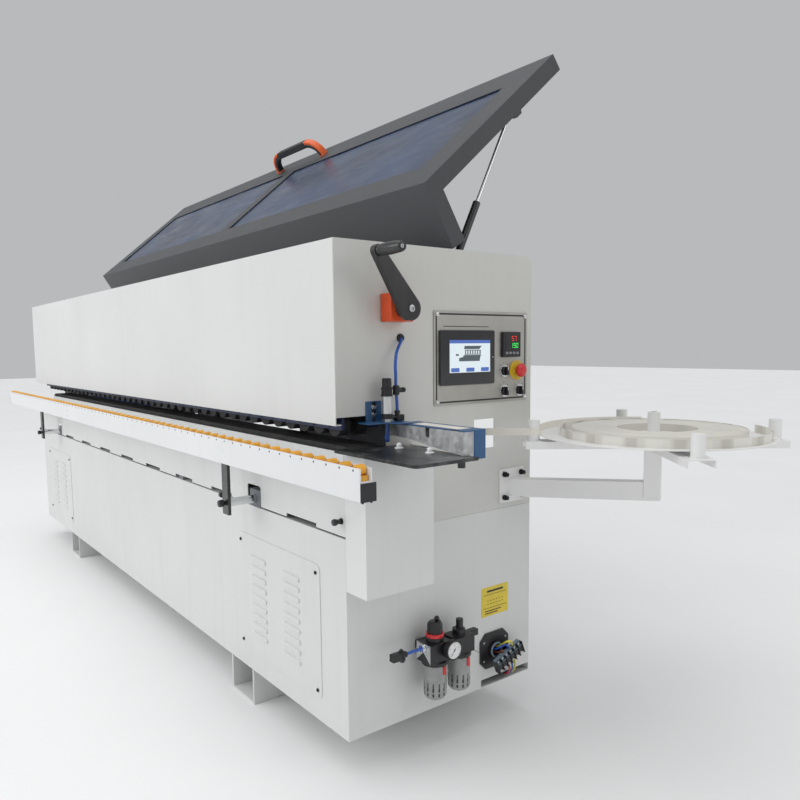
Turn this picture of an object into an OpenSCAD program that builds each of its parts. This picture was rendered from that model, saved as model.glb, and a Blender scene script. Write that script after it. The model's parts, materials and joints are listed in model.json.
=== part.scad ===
// Edge banding machine: a straight-line bander with its rear lid open,
// an infeed tape tray, a roller support rail and a hand crank for the pressure beam.
// +X points to the infeed end, -Y to the operator, +Z up; z = 0 is the floor.

/* [Body] */
// Length of the base cabinet
body_len = 3316; // [2760:1:4000]
// Depth of the base cabinet and of the end panels
body_depth = 674; // [660:1:820]
// Height of the floor channels
foot_h = 116; // [90:1:140]
// Height of the base cabinet above its channels
cabinet_h = 531; // [480:1:560]
// Height of the conveyor pads above the floor
work_h = 879; // [860:1:960]
// Height of the hood top above the floor
hood_top = 1384; // [1360:1:1480]
// Gap between the pads and the lower edge of the hood
hood_gap = 53; // [50:1:70]
// How far the hood stands out in front of the cabinet
hood_out = 21; // [10:1:40]
// Depth of the fixed hood top
hood_depth = 391; // [380:1:400]
// Thickness of the sheet metal
sheet = 3; // [2:0.5:4]
// Corner radius of the end panels
end_r = 27; // [10:1:40]
// Length of the fixed cover at the outfeed end
fixed_cover = 416; // [300:1:600]

/* [Floor channels] */
// Width of a floor channel
foot_w = 157; // [120:1:200]
// Distance between the two floor channels, centre to centre
foot_pitch = 2080; // [1600:1:2400]
// Distance between the two anchor holes of a channel
anchor_pitch = 560; // [480:1:600]
// Radius of an anchor hole
anchor_r = 9; // [6:0.5:12]
// Wall of a floor channel
foot_wall = 8; // [5:1:12]

/* [Lid] */
// Length of the sloping leg that carries the windows
lid_long = 662; // [560:1:700]
// Length of the short leg at the hinge
lid_short = 191; // [170:1:210]
// Depth of the lid's edge flanges
lid_flange = 50; // [35:1:60]
// Angle between the long leg and the level when open
lid_long_angle = 41; // [38:1:44]
// Angle between the short leg and the level when open
lid_short_angle = 122; // [120:1:125]
// Height of a window opening along the long leg
window_h = 424; // [300:1:460]
// Width of the bar between the two windows
mullion = 78; // [50:1:120]
// Diameter of a gas strut tube
strut_tube_d = 22; // [18:1:28]
// Diameter of a gas strut rod
strut_rod_d = 10; // [8:1:14]

/* [Conveyor] */
// Width of the conveyor pads
pad_w = 90; // [70:1:100]
// Thickness of the pads and their chain
pad_t = 14; // [10:1:18]
// Outer radius of the chain where it turns
turn_r = 48; // [40:1:60]
// Length of one pad
pad_pitch = 50; // [40:1:80]
// Radius of the pressure wheels
wheel_r = 30; // [24:1:34]
// Distance between pressure wheel axles
wheel_pitch = 75; // [70:1:100]

/* [Support rail] */
// Depth and height of the lower rail tube
rail_tube = 40; // [30:1:50]
// Height of the upper rail profile
rail_top = 31; // [25:1:40]
// How far the rail stands past the infeed end
rail_infeed = 264; // [100:1:320]
// How far the rail stands past the outfeed end
rail_outfeed = 244; // [100:1:320]
// Distance between two rail rollers
roller_pitch = 53; // [45:1:80]
// Diameter of a guide rod
rod_d = 25; // [20:1:30]

/* [Tape tray] */
// Radius of the turning disc
disc_r = 305; // [220:1:318]
// Distance from the centre to a guide post
post_reach = 325; // [300:1:360]
// Diameter of a guide post
post_d = 33; // [25:1:40]
// Height of a guide post
post_h = 56; // [40:1:70]
// Width of the edge tape
tape_w = 22; // [16:1:28]
// Outer radius of the tape coil
coil_r = 225; // [160:1:250]

/* [Controls] */
// Width of the control plate
plate_w = 363; // [340:1:400]
// Height of the control plate
plate_h = 256; // [240:1:280]
// Width of the touch screen
screen_w = 204; // [180:1:210]
// Height of the touch screen
screen_h = 150; // [130:1:155]
// Size of the square temperature controller
controller_s = 72; // [48:1:76]
// Length of the crank between its two axes
crank_len = 164; // [120:1:180]

/* [Hidden] */
$fn = 48;

// clearances
run = 0.05;      // radial clearance of a running fit
gap = 0.3;       // gap between curved faces of two bodies
eye_gap = 0.5;   // side gap at a pivot eye

// main planes
xr = body_len / 2;
xl = -xr;
yf = -body_depth / 2;
yb = body_depth / 2;
zc = foot_h;                 // underside of the cabinet
zs = zc + cabinet_h;         // seam between the cabinet and the upper panels
hood_z = work_h + hood_gap;
yh = yf - hood_out;          // front of the hood
y_edge = yf + 130;           // line of the panel edge that is banded
notch_top = hood_z + 20;     // top of the panel passage in the end panels
deck_y = yf + 150;
deck_t = 20;
deck_z = zs + deck_t;

// ---- small helpers ----
module block(a, b) translate(a) cube([b[0] - a[0], b[1] - a[1], b[2] - a[2]]);
module rod_x(x0, x1, y, z, r) translate([x0, y, z]) rotate([0, 90, 0]) cylinder(r = r, h = x1 - x0);
module rod_y(x, y0, y1, z, r) translate([x, y1, z]) rotate([90, 0, 0]) cylinder(r = r, h = y1 - y0);
module rod_z(x, y, z0, z1, r) translate([x, y, z0]) cylinder(r = r, h = z1 - z0);
module round_rect(w, h, r) {
  translate([r, 0]) square([w - 2 * r, h]);
  translate([0, r]) square([w, h - 2 * r]);
  for (x = [r, w - r], y = [r, h - r]) translate([x, y]) circle(r = r);
}
// plate facing -Y whose lower left corner is at (x, z), back face at y
module front_plate(x, z, w, h, r, y, t) translate([x, y, z]) rotate([90, 0, 0]) linear_extrude(t) round_rect(w, h, r);
// plate facing +X whose lower front corner is at (y, z), back face at x
module end_plate(y, z, w, h, r, x, t) translate([x, y, z]) rotate([90, 0, 90]) linear_extrude(t) round_rect(w, h, r);
// outline drawn in (y, z), extruded from x0 to x1
module yz_extrude(x0, x1) translate([x0, 0, 0]) rotate([90, 0, 90]) linear_extrude(x1 - x0) children();
// outline drawn in (x, z), extruded from y0 to y1
module xz_extrude(y0, y1) translate([0, y1, 0]) rotate([90, 0, 0]) linear_extrude(y1 - y0) children();

// ---- base cabinet ----
vent_w = 488;
vent_h = 374;
vent_z = zc + 62;
vent_x = [xr - 613, xl + 120];
vent_t = 2;
rod_xs = [xr - 497, xl + 407];
rod_z0 = zc + 555;
slot_pitch = 327;
slot_len = 160;

lip = 40;       // inward lip round the top of the cabinet
module cabinet() color("gainsboro") difference() {
  block([xl, yf, zc], [xr, yb, zs]);
  block([xl + sheet, yf + sheet, zc + sheet], [xr - sheet, yb - sheet, zs - sheet]);
  block([xl + lip, yf + lip, zs - sheet - 1], [xr - lip, yb - lip, zs + 1]);
  for (x = vent_x) block([x + 30, yf - 1, vent_z + 30], [x + vent_w - 30, yf + sheet + 1, vent_z + vent_h - 30]);
  rod_x(xr - sheet - 1, xr + 1, gland_y, gland_z, gland_bore);
  // lead outlet under the end wall
  block([xr - sheet - 1, gland_y - 50, zc + sheet], [xr + 1, yb - sheet, zc + 24]);
}

module floor_channel(x) difference() {
  block([x - foot_w / 2, yf, 0], [x + foot_w / 2, yb, foot_h]);
  block([x - foot_w / 2 + foot_wall, yf - 1, foot_wall], [x + foot_w / 2 - foot_wall, yb + 1, foot_h + 1]);
  for (s = [-1, 1]) rod_z(x, s * anchor_pitch / 2, -1, foot_wall + 1, anchor_r);
}
module floor_channels() color("gainsboro") for (s = [-1, 1]) floor_channel(s * foot_pitch / 2);

panel_top = work_h - 86;
hole_w = 86;
hole_h = 66;
module front_panel() color("whitesmoke") difference() {
  block([xl, yf, zs + 5], [xr, yf + sheet, panel_top]);
  for (x = [rod_xs[1] + 130 : slot_pitch : rod_xs[0] - 130 - slot_len])
    block([x, yf - 1, zs + 4], [x + slot_len, yf + sheet + 1, zs + 15]);
  block([xr - 299, yf - 1, zs + 4], [xr - 299 + slot_len, yf + sheet + 1, zs + 15]);
  for (x = rod_xs) translate([x - hole_w / 2, yf + sheet + 1, rod_z0 - 24]) rotate([90, 0, 0])
    linear_extrude(sheet + 2) round_rect(hole_w, hole_h, 8);
}

louvre_rows = 9;
louvre_pitch = 30;
module louvre(x, z) {
  block([x, yf - vent_t - 4, z], [x + 82, yf - vent_t, z + 13]);
  for (e = [0, 82]) rod_y(x + e, yf - vent_t - 4, yf - vent_t, z + 6.5, 6.5);
}
module vent_cover(x) {
  front_plate(x, vent_z, vent_w, vent_h, 20, yf, vent_t);
  for (c = [95, 292], r = [0 : louvre_rows - 1]) louvre(x + c, vent_z + 60 + r * louvre_pitch);
}
module vent_covers() color("gainsboro") for (x = vent_x) vent_cover(x);

module screw_y(x, z, y, r) {
  rod_y(x, y - 3, y, z, r);
  rod_y(x, y - 4.2, y - 3, z, r * 0.7);
}
module screw_x(y, z, x, r) {
  rod_x(x, x + 3, y, z, r);
  rod_x(x + 3, x + 4.2, y, z, r * 0.7);
}
module fasteners() color("black") {
  for (x = vent_x, dx = [7 + 12, vent_w - 19], dz = [24, vent_h - 24]) screw_y(x + dx, vent_z + dz, yf - vent_t, 5);
  for (dy = [11, plate_w - 11], dz = [11, plate_h - 11]) screw_x(plate_y + dy, plate_z + dz, xr + plate_t, 5);
  for (dy = [16, 86], dz = [16, 85]) {
    rod_x(xr + 6, xr + 14, mount_y + dy, mount_z + dz, 8);
    rod_x(xr + 14, xr + 22, mount_y + dy, mount_z + dz, 6);
  }
  screw_y(xr - 16, zs + 44, yf, 8);
  for (dz = [14, 33]) screw_x(flange_y + 24, flange_z + sheet + dz + 8, xr + sheet, 6);
}

// ---- end panels, hood and frame ----
win_y = yf + 441;
win_w = 79;
win_z = zc + 716;
win_h = 84;
hose_y = yf + 179;
hose_z = zc + 1030;
hose_d = 8;
crank_y = yf + 152;
crank_z = zc + 1101;
shaft_r = 9;
y_rear = yb;
hood_back = yh + hood_depth;
hinge_y = hood_back + 15;
hinge_z = hood_top + 12;
pin_r = 5;
// lower strut pivot, a fixed distance below and in front of the hinge
strut_y = hinge_y - 32;
strut_z = hinge_z - 154;
lid_x1 = xr - 10;
lid_x0 = xl + fixed_cover;
strut_x = [xr - 45, lid_x0 + 35];

module end_outline() difference() {
  union() {
    translate([yh, notch_top]) square([y_rear - end_r - yh, hood_top - notch_top]);
    translate([yh, notch_top]) square([y_rear - yh, hood_top - end_r - notch_top]);
    translate([y_rear - end_r, hood_top - end_r]) circle(r = end_r);
    translate([y_edge, zs]) square([y_rear - y_edge, notch_top - zs + 1]);
  }
}
module end_panel_infeed() color("lightgray") {
  difference() {
    yz_extrude(xr - sheet, xr) end_outline();
    block([xr - sheet - 1, win_y, win_z], [xr + 1, win_y + win_w, win_z + win_h]);
    rod_x(xr - sheet - 1, xr + 1, hose_y, hose_z, 11);
    rod_x(xr - sheet - 1, xr + 1, crank_y, crank_z, shaft_r + 4);
  }
  // strut pivot pin
  rod_x(strut_x[0] - 7, xr - sheet, strut_y, strut_z, pin_r);
  rod_x(strut_x[0] + 6 + eye_gap, xr - sheet, strut_y, strut_z, 12);
}
module end_panel_outfeed() color("lightgray") {
  yz_extrude(xl, xl + sheet) difference() {
    end_outline();
    // room for the hood's own front and top
    translate([yh - 1, hood_z]) square([sheet + 1, hood_top - hood_z + 1]);
    translate([yh - 1, hood_top - sheet]) square([hood_depth + 1, sheet + 1]);
  }
  // fixed cover over the last units: top, back and bulkhead
  block([xl + sheet, yf + hood_depth - hood_out, hood_top - sheet], [lid_x0 - 6, y_rear - end_r, hood_top]);
  block([xl + sheet, y_rear - end_r - sheet, zs + 60], [lid_x0 - 6, y_rear - end_r, hood_top - sheet]);
  block([lid_x0 - 6 - sheet, deck_y + 240, hood_top - 300], [lid_x0 - 6, y_rear - end_r - sheet, hood_top - sheet]);
  rod_x(lid_x0 - 6, strut_x[1] + 7, strut_y, strut_z, pin_r);
  rod_x(lid_x0 - 6, strut_x[1] - 6 - eye_gap, strut_y, strut_z, 12);
  block([lid_x0 - 6 - sheet, strut_y - 14, strut_z - 14], [lid_x0 - 6, deck_y + 240, hood_top - 34]);
}
module beam_hood() color("whitesmoke") {
  block([xl - 33, yh, hood_z], [xr - sheet, yh + sheet, hood_top]);
  block([xl - 33, yh + sheet, hood_top - sheet], [xl, hood_back, hood_top]);
  block([xl, yh + sheet, hood_top - sheet], [xr - sheet, hood_back, hood_top]);
  block([xl - 33, yh + sheet, hood_z], [xl - 33 + sheet, hood_back, hood_top - sheet]);
  block([xl - 30, yh + sheet, hood_z], [xr - sheet, yh + 18, hood_z + sheet]);
  block([xl + sheet, hood_back - sheet, hood_top - 30], [lid_x1 - 60, hood_back, hood_top - sheet]);
}

beam_y0 = yf + 20;
beam_y1 = yf + 130;
beam_z0 = zc + 900;
beam_z1 = zc + 1060;
col_y0 = yf + 175;
col_y1 = yf + 265;
col_w = 80;
col_xs = [xl + 60, xr - 1700, xr - 150];
post_xs = [-1000, 1000];
post_y = yf + 75;
lift_post_r = 20;
module machine_frame() color("slategray") difference() {
  union() {
    block([xl + sheet, deck_y, zs], [xr - sheet, y_rear - end_r - 6, deck_z]);
    for (x = col_xs) {
      block([x, col_y0, deck_z], [x + col_w, col_y1, beam_z1]);
      block([x, beam_y1, beam_z0], [x + col_w, col_y0, beam_z1]);
    }
    block([xl + 30, beam_y0, beam_z0], [xr - 30, beam_y1, beam_z1]);
    // bevel gearbox of the height crank
    block([xr - 140, crank_y - 34, beam_z1], [xr - 82, crank_y + 34, crank_z + 34]);
    // guide blocks of the rail rods and ties to the front panel
    for (x = rod_xs) block([x - 35, yf + sheet, zs], [x + 35, deck_y + 60, rod_z0 + 28]);
    for (x = [rod_xs[1] + 600, rod_xs[0] - 600]) block([x - 20, yf + sheet, zs], [x + 20, deck_y + 1, deck_z]);
  }
  for (x = rod_xs) rod_y(x, yf, yf + 480, rod_z0, rod_d / 2 + run);
  block([xl + 29, beam_y0 + 8, beam_z0 + 8], [xr - 29, beam_y1 - 8, beam_z1 - 8]);
  for (x = post_xs) rod_z(x, post_y, beam_z0 - 1, beam_z1 + 1, lift_post_r + run);
  rod_x(xr - 141, xr - 80, crank_y, crank_z, shaft_r + run);
}

// ---- conveyor ----
bracket_xs = [rod_xs[1] + 90, (rod_xs[0] + rod_xs[1]) / 2 - 300, (rod_xs[0] + rod_xs[1]) / 2 + 300, rod_xs[0] - 90, xr - 138];
pad_y0 = yf + 8;
pad_y1 = pad_y0 + pad_w;
turn_z = work_h - turn_r;
inner_r = turn_r - pad_t;
turn_x1 = xr - 18;             // infeed sprocket axis
turn_x0 = xl + 314;            // outfeed sprocket axis
axle_r = 12;
cheek_y = yf + pad_w + 12;
module stadium(x0, x1, r) {
  translate([x0, turn_z - r]) square([x1 - x0, 2 * r]);
  for (x = [x0, x1]) translate([x, turn_z]) circle(r = r);
}
module conveyor_pads() color("black") xz_extrude(pad_y0, pad_y1) difference() {
  stadium(turn_x0, turn_x1, turn_r);
  stadium(turn_x0, turn_x1, inner_r);
  for (x = [turn_x0 : pad_pitch : turn_x1], s = [-1, 1])
    translate([x - 1, turn_z + s * (turn_r - 2.5) - 2.5]) square([2, 5.1]);
}
module conveyor_beam() color("white") difference() {
  union() {
    block([turn_x0 + inner_r + 8, pad_y0 + 4, turn_z - inner_r + 3], [turn_x1 - inner_r - 8, pad_y1 - 4, turn_z + inner_r - 3]);
    // side plate in front of the chain, square at the infeed end
    xz_extrude(yf + 1, yf + 4) {
      stadium(turn_x0, turn_x1 - 60, inner_r);
      translate([turn_x0, turn_z - inner_r]) square([xr - 3 - turn_x0, 2 * inner_r]);
    }
    for (x = [turn_x0 + 90 : 420 : turn_x1 - 60]) block([x - 12, yf + 4, turn_z - 14], [x + 12, pad_y0 + 4, turn_z + 14]);
    // cheeks behind the chain and the brackets down to the deck
    for (x = [turn_x0 - 20, turn_x1 - 140]) block([x, cheek_y, turn_z - 25], [x + 160, cheek_y + 10, turn_z + 25]);
    for (x = bracket_xs) {
      block([x - 20, pad_y1 - 4, turn_z - 22], [x + 20, deck_y + 12, turn_z + 22]);
      block([x - 20, deck_y, deck_z], [x + 20, deck_y + 12, turn_z + 22]);
    }
    for (x = [turn_x0 + 100, turn_x1 - 120]) block([x - 20, pad_y1 - 4, turn_z - 22], [x + 20, cheek_y + 10, turn_z + 22]);
  }
  for (x = [turn_x0, turn_x1]) rod_y(x, yf - 1, cheek_y + 11, turn_z, axle_r + run);
}
module sprocket(x, y1) {
  for (y = [pad_y0 + 18, pad_y1 - 30]) rod_y(x, y, y + 12, turn_z, inner_r - gap);
  rod_y(x, yf + 1.5, y1, turn_z, axle_r);
}
module sprocket_infeed() color("dimgray") sprocket(turn_x1, cheek_y + 14);
motor_y = yf + 200;
motor_in = rod_xs[1] - 37 - turn_x0;      // reach of its box up to the guide of the rail rod
module sprocket_outfeed() color("dimgray") sprocket(turn_x0, motor_y + 40);
module drive_motor() color("royalblue") difference() {
  union() {
    block([turn_x0 - 60, motor_y, deck_z + 20], [turn_x0 + motor_in, motor_y + 110, turn_z + 60]);
    block([turn_x0 - 75, motor_y - 5, deck_z], [turn_x0 + motor_in, motor_y + 140, deck_z + 20]);
    rod_y(turn_x0, motor_y + 110, motor_y + 330, turn_z, 58);
    rod_y(turn_x0, motor_y + 330, motor_y + 370, turn_z, 54);
  }
  rod_y(turn_x0, motor_y - 6, motor_y + 60, turn_z, axle_r + run);
}

end_box_w = 214;
end_box_x = 89;
end_box_z = zc + 397;
table_top = work_h - 3;
table_t = 8;
module conveyor_end_housing() color("whitesmoke") difference() {
  block([xr, yf, end_box_z], [xr + end_box_x, yf + end_box_w, table_top - table_t]);
  block([xr - 1, yf + sheet, end_box_z + sheet], [xr + end_box_x - sheet, yf + end_box_w - sheet, table_top - table_t + 1]);
}

// ---- pressure beam ----
press_x0 = xl + 129;
press_x1 = xr - 13;
press_y0 = yf + 3;
press_y1 = yf + 112;
press_top = zc + 856;
skirt_z = zc + 803;
wheel_z = work_h + 20 + wheel_r;
wheel_n = floor((press_x1 - press_x0 - 90) / wheel_pitch);
module pressure_beam() color("midnightblue") {
  difference() {
    block([press_x0, press_y0, skirt_z], [press_x1, press_y1, press_top]);
    block([press_x0 - 1, press_y0 + 9, skirt_z - 1], [press_x1 + 1, press_y1 - 9, press_top - 6]);
    for (i = [0 : wheel_n]) {
      x = press_x0 + 45 + i * wheel_pitch;
      rod_y(x, press_y0 - 1, press_y1 + 1, wheel_z, 6 + run);
    }
  }
  for (x = post_xs) rod_z(x, post_y, press_top, beam_z1 + 90, lift_post_r);
}
module pressure_wheels() color("black") for (i = [0 : wheel_n]) {
  x = press_x0 + 45 + i * wheel_pitch;
  rod_y(x, press_y0 + 13, press_y0 + 43, wheel_z, wheel_r);
  rod_y(x, press_y1 - 43, press_y1 - 13, wheel_z, wheel_r);
  rod_y(x, press_y0 + 2, press_y1 - 2, wheel_z, 6);
}

// ---- height crank ----
ind_y0 = crank_y - 36;
ind_w = 72;
ind_z0 = crank_z - 31;
ind_h = 70;
ind_t = 45;
arm_x0 = xr + 63;
arm_t = 19;
hub_r = 30;
tip_r = 15;
crank_rise = crank_len * 0.811;
crank_run = sqrt(crank_len * crank_len - crank_rise * crank_rise);
tip_y = crank_y - crank_run;
tip_z = crank_z + crank_rise;
module position_indicator() color("orangered") difference() {
  block([xr, ind_y0, ind_z0], [xr + ind_t, ind_y0 + ind_w, ind_z0 + ind_h]);
  rod_x(xr - 1, xr + ind_t + 1, crank_y, crank_z, shaft_r + run);
}
// straight arm between two round ends, built from its common tangents
tangent = asin((hub_r - tip_r) / crank_len);
arm_dir = atan2(crank_rise, -crank_run);
function ring(cy, cz, r, a) = [cy + r * cos(a), cz + r * sin(a)];
module crank_outline() {
  polygon([
    ring(crank_y, crank_z, hub_r, arm_dir + 90 - tangent), ring(tip_y, tip_z, tip_r, arm_dir + 90 - tangent),
    ring(tip_y, tip_z, tip_r, arm_dir - 90 + tangent), ring(crank_y, crank_z, hub_r, arm_dir - 90 + tangent)
  ]);
  translate([crank_y, crank_z]) circle(r = hub_r);
  translate([tip_y, tip_z]) circle(r = tip_r);
}
grip_len = 88;
grip_pin = 6;
module crank_arm() color("black") {
  yz_extrude(arm_x0, arm_x0 + arm_t) crank_outline();
  rod_x(xr + ind_t + eye_gap, arm_x0, crank_y, crank_z, 20);
  rod_x(xr - 130, arm_x0, crank_y, crank_z, shaft_r);
  rod_x(arm_x0 + arm_t, arm_x0 + arm_t + grip_len - 12, tip_y, tip_z, grip_pin);
}
module crank_grip() color("black") difference() {
  union() {
    rod_x(arm_x0 + arm_t + eye_gap, arm_x0 + arm_t + grip_len, tip_y, tip_z, 13);
    rod_x(arm_x0 + arm_t + 12, arm_x0 + arm_t + grip_len - 14, tip_y, tip_z, 15);
  }
  rod_x(arm_x0 + arm_t - 1, arm_x0 + arm_t + grip_len - 11, tip_y, tip_z, grip_pin + run);
}

// ---- lid ----
// the section is drawn open, from the hinge edge over the bend to the free edge
bend = [hinge_y - 11 + lid_short * cos(lid_short_angle), hinge_z - 9 + lid_short * sin(lid_short_angle)];
root_pt = [hinge_y - 11, hinge_z - 9];
free_pt = [bend[0] + lid_long * cos(lid_long_angle), bend[1] + lid_long * sin(lid_long_angle)];
// offset line of the section at depth d: hinge edge, bend, free edge
half = (lid_short_angle - lid_long_angle) / 2;
mid_dir = (lid_short_angle + lid_long_angle) / 2 - 90;
function inset_root(d) = [root_pt[0] + d * sin(lid_short_angle), root_pt[1] - d * cos(lid_short_angle)];
function inset_bend(d) = [bend[0] + d / cos(half) * cos(mid_dir), bend[1] + d / cos(half) * sin(mid_dir)];
function inset_free(d) = [free_pt[0] + d * sin(lid_long_angle), free_pt[1] - d * cos(lid_long_angle)];
module lid_band(d0, d1) polygon([
  inset_root(d0), inset_bend(d0), inset_free(d0), inset_free(d1), inset_bend(d1), inset_root(d1)
]);
// point on the long leg: t along it from the bend, d below its outer face
function on_lid(t, d) = [
  bend[0] + t * cos(lid_long_angle) + d * sin(lid_long_angle),
  bend[1] + t * sin(lid_long_angle) - d * cos(lid_long_angle)
];
// child drawn with x along the lid, y along the long leg, z out of its face
module lid_place(x, t, d) {
  q = on_lid(t, d);
  translate([x, q[0], q[1]]) rotate([lid_long_angle, 0, 0]) children();
}
ball_t = 426;
ball_d = 46;
win_t0 = 108;
win_in = 112;
lid_mid = lid_x1 - 1413;
pane_t = 4;
module pane_cut(x0, x1, grow, d0, d1)
  lid_place(x0 - grow, win_t0 - grow, d1) cube([x1 - x0 + 2 * grow, window_h + 2 * grow, d1 - d0]);
pane_xs = [[lid_x0 + win_in, lid_mid - mullion / 2], [lid_mid + mullion / 2, lid_x1 - win_in]];
module lid_shell() color("dimgray") {
  difference() {
    yz_extrude(lid_x0, lid_x1) lid_band(0, sheet);
    for (p = pane_xs) pane_cut(p[0], p[1], 0, -1, sheet + 1);
  }
  for (x = [lid_x0, lid_x1 - sheet]) yz_extrude(x, x + sheet) lid_band(sheet, lid_flange);
  // returns along the free edge and the hinge edge
  yz_extrude(lid_x0 + sheet, lid_x1 - sheet) polygon([
    inset_free(sheet), inset_free(lid_flange), on_lid(lid_long - sheet, lid_flange), on_lid(lid_long - sheet, sheet)
  ]);
  // tabs that carry the strut pins
  for (s = [0, 1]) {
    x0 = s == 0 ? lid_x1 - sheet - 18 : lid_x0 + sheet;
    yz_extrude(x0, x0 + 18) polygon([on_lid(ball_t - 22, 34), on_lid(ball_t + 22, 34), on_lid(ball_t + 12, 60), on_lid(ball_t - 12, 60)]);
  }
  q = on_lid(ball_t, ball_d);
  rod_x(strut_x[0] + 6 + eye_gap, lid_x1 - sheet - 10, q[0], q[1], 7);
  rod_x(lid_x0 + sheet + 10, strut_x[1] - 6 - eye_gap, q[0], q[1], 7);
}
module lid_windows() color([0.2, 0.35, 0.6, 0.6]) for (p = pane_xs) pane_cut(p[0], p[1], 18, sheet + run, sheet + pane_t);

handle_x = lid_mid + 29;
handle_h = 82;
handle_w = 28;
// half outline of the bow handle from its foot to its middle, in (x, height)
function bow(grow) = [
  [172 + grow, 0], [170 + grow, 12], [165 + grow, 26], [156 + grow, 38], [146 + 0.85 * grow, 44 + 0.5 * grow],
  [132 + 0.6 * grow, 50 + 0.8 * grow], [116 + 0.2 * grow, handle_h - 28 + grow]
];
module lid_handle() color("black") lid_place(handle_x, win_t0 + window_h + 62 - handle_w / 2, 0) rotate([90, 0, 0])
  translate([0, 0, -handle_w]) linear_extrude(handle_w) difference() {
    polygon(concat(bow(28), [for (i = [6 : -1 : 0]) [-bow(28)[i][0], bow(28)[i][1]]]));
    translate([0, -1]) polygon(concat(bow(0), [for (i = [6 : -1 : 0]) [-bow(0)[i][0], bow(0)[i][1]]]));
  }

hinge_n = 5;
hinge_len = 90;
hinge_step = (lid_x1 - lid_x0 - 400) / (hinge_n - 1);
function hinge_x(i) = lid_x0 + 200 - hinge_len / 2 + i * hinge_step;
module lid_hinges() color("black") {
  for (i = [0 : hinge_n - 1]) {
    x = hinge_x(i);
    difference() {
      union() {
        for (k = [0, 60]) rod_x(x + k, x + k + 30, hinge_y, hinge_z, 9);
        for (k = [0, 60]) block([x + k, hinge_y - 7, hood_top - 13], [x + k + 30, hinge_y + 3, hinge_z]);
        block([x, hood_back, hood_top - 28], [x + 90, hinge_y - 7, hood_top - 4]);
      }
    }
    rod_x(x, x + hinge_len, hinge_y, hinge_z, pin_r);
  }
}
module lid_knuckles() for (i = [0 : hinge_n - 1]) {
  x = hinge_x(i) + 30 + eye_gap;
  difference() {
    union() {
      rod_x(x, x + 30 - 2 * eye_gap, hinge_y, hinge_z, 9);
      yz_extrude(x, x + 30 - 2 * eye_gap) polygon([
        inset_root(sheet), [hinge_y - 3, hinge_z + 6], [hinge_y + 4, hinge_z + 8], inset_root(22) + [30 * cos(lid_short_angle), 30 * sin(lid_short_angle)],
        inset_root(sheet) + [60 * cos(lid_short_angle), 60 * sin(lid_short_angle)]
      ]);
    }
    rod_x(x - 1, x + 30, hinge_y, hinge_z, pin_r + run);
  }
}

// ---- gas struts ----
ball = on_lid(ball_t, ball_d);
strut_open = norm([ball[0] - strut_y, ball[1] - strut_z]);
strut_angle = atan2(ball[1] - strut_z, ball[0] - strut_y);
tube_len = 318;
tube_wall = 3;
tube_foot = 24.5;      // floor of the chamber
piston_z = tube_len - 15;
// child drawn along +Z from the lower pivot
module strut_place(x) translate([x, strut_y, strut_z]) rotate([strut_angle - 90, 0, 0]) children();
module strut_eye(z, bore) translate([-6, 0, z]) rotate([0, 90, 0]) difference() {
  cylinder(r = 11, h = 12);
  translate([0, 0, -1]) cylinder(r = bore, h = 14);
}
module strut_tube(x) strut_place(x) {
  strut_eye(0, pin_r + run);
  difference() {
    union() {
      translate([0, 0, 10]) cylinder(r = 5, h = 14);
      translate([0, 0, 22]) cylinder(r = strut_tube_d / 2, h = tube_len - 22);
    }
    translate([0, 0, tube_foot]) cylinder(r = strut_tube_d / 2 - tube_wall, h = tube_len - 6 - tube_foot);
    translate([0, 0, tube_len - 12]) cylinder(r = strut_rod_d / 2 + run, h = 14);
  }
}
module strut_rod(x) strut_place(x) {
  translate([0, 0, piston_z]) cylinder(r = strut_rod_d / 2, h = strut_open - piston_z - 9);
  translate([0, 0, piston_z]) cylinder(r = strut_tube_d / 2 - tube_wall - gap, h = 8);
  strut_eye(strut_open, 4);
}

// ---- infeed table, fence and stopper ----
table_x1 = xr + 317;
table_x0 = xr + 32;
table_y0 = yf - 30;
table_y1 = yf + 152;
table_r = 14;
fence_x1 = xr + 290;
fence_top = work_h + 52;
fence_t = 30;
module infeed_table() color([0.1, 0.1, 0.11]) {
  translate([table_x0, table_y0, table_top - table_t]) linear_extrude(table_t) {
    square([table_x1 - table_x0 - table_r, table_y1 - table_y0]);
    translate([0, table_r]) square([table_x1 - table_x0, table_y1 - table_y0 - table_r]);
    translate([table_x1 - table_x0 - table_r, table_r]) circle(r = table_r);
  }
  // narrow nose in front of the pads
  block([xr + 3, table_y0, table_top - table_t], [table_x0, yf + 2, table_top]);
  rod_z(fence_x1 - 4, y_edge - 2, table_top - table_t - 18, table_top - table_t, 9);
}
module infeed_fence() color("silver") difference() {
  xz_extrude(y_edge, y_edge + fence_t) polygon([
    [xr, table_top + 26], [xr + 113, table_top + 20], [xr + 172, table_top + 12], [fence_x1, table_top],
    [fence_x1, fence_top], [xr, fence_top]
  ]);
  // slot for the panel sensor
  block([xr + 157, y_edge - 1, fence_top - 17], [xr + 171, y_edge + fence_t - 4, fence_top + 1]);
  rod_y(xr + 164, y_edge - 1, y_edge + fence_t - 4, fence_top - 17, 7);
}
flange_x0 = xr;
flange_x1 = xr + 96;
flange_y = yf + 66;
flange_z = fence_top + 2 * sheet;
guard_x0 = xr + 48;
guard_y1 = y_edge + 67;
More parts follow.
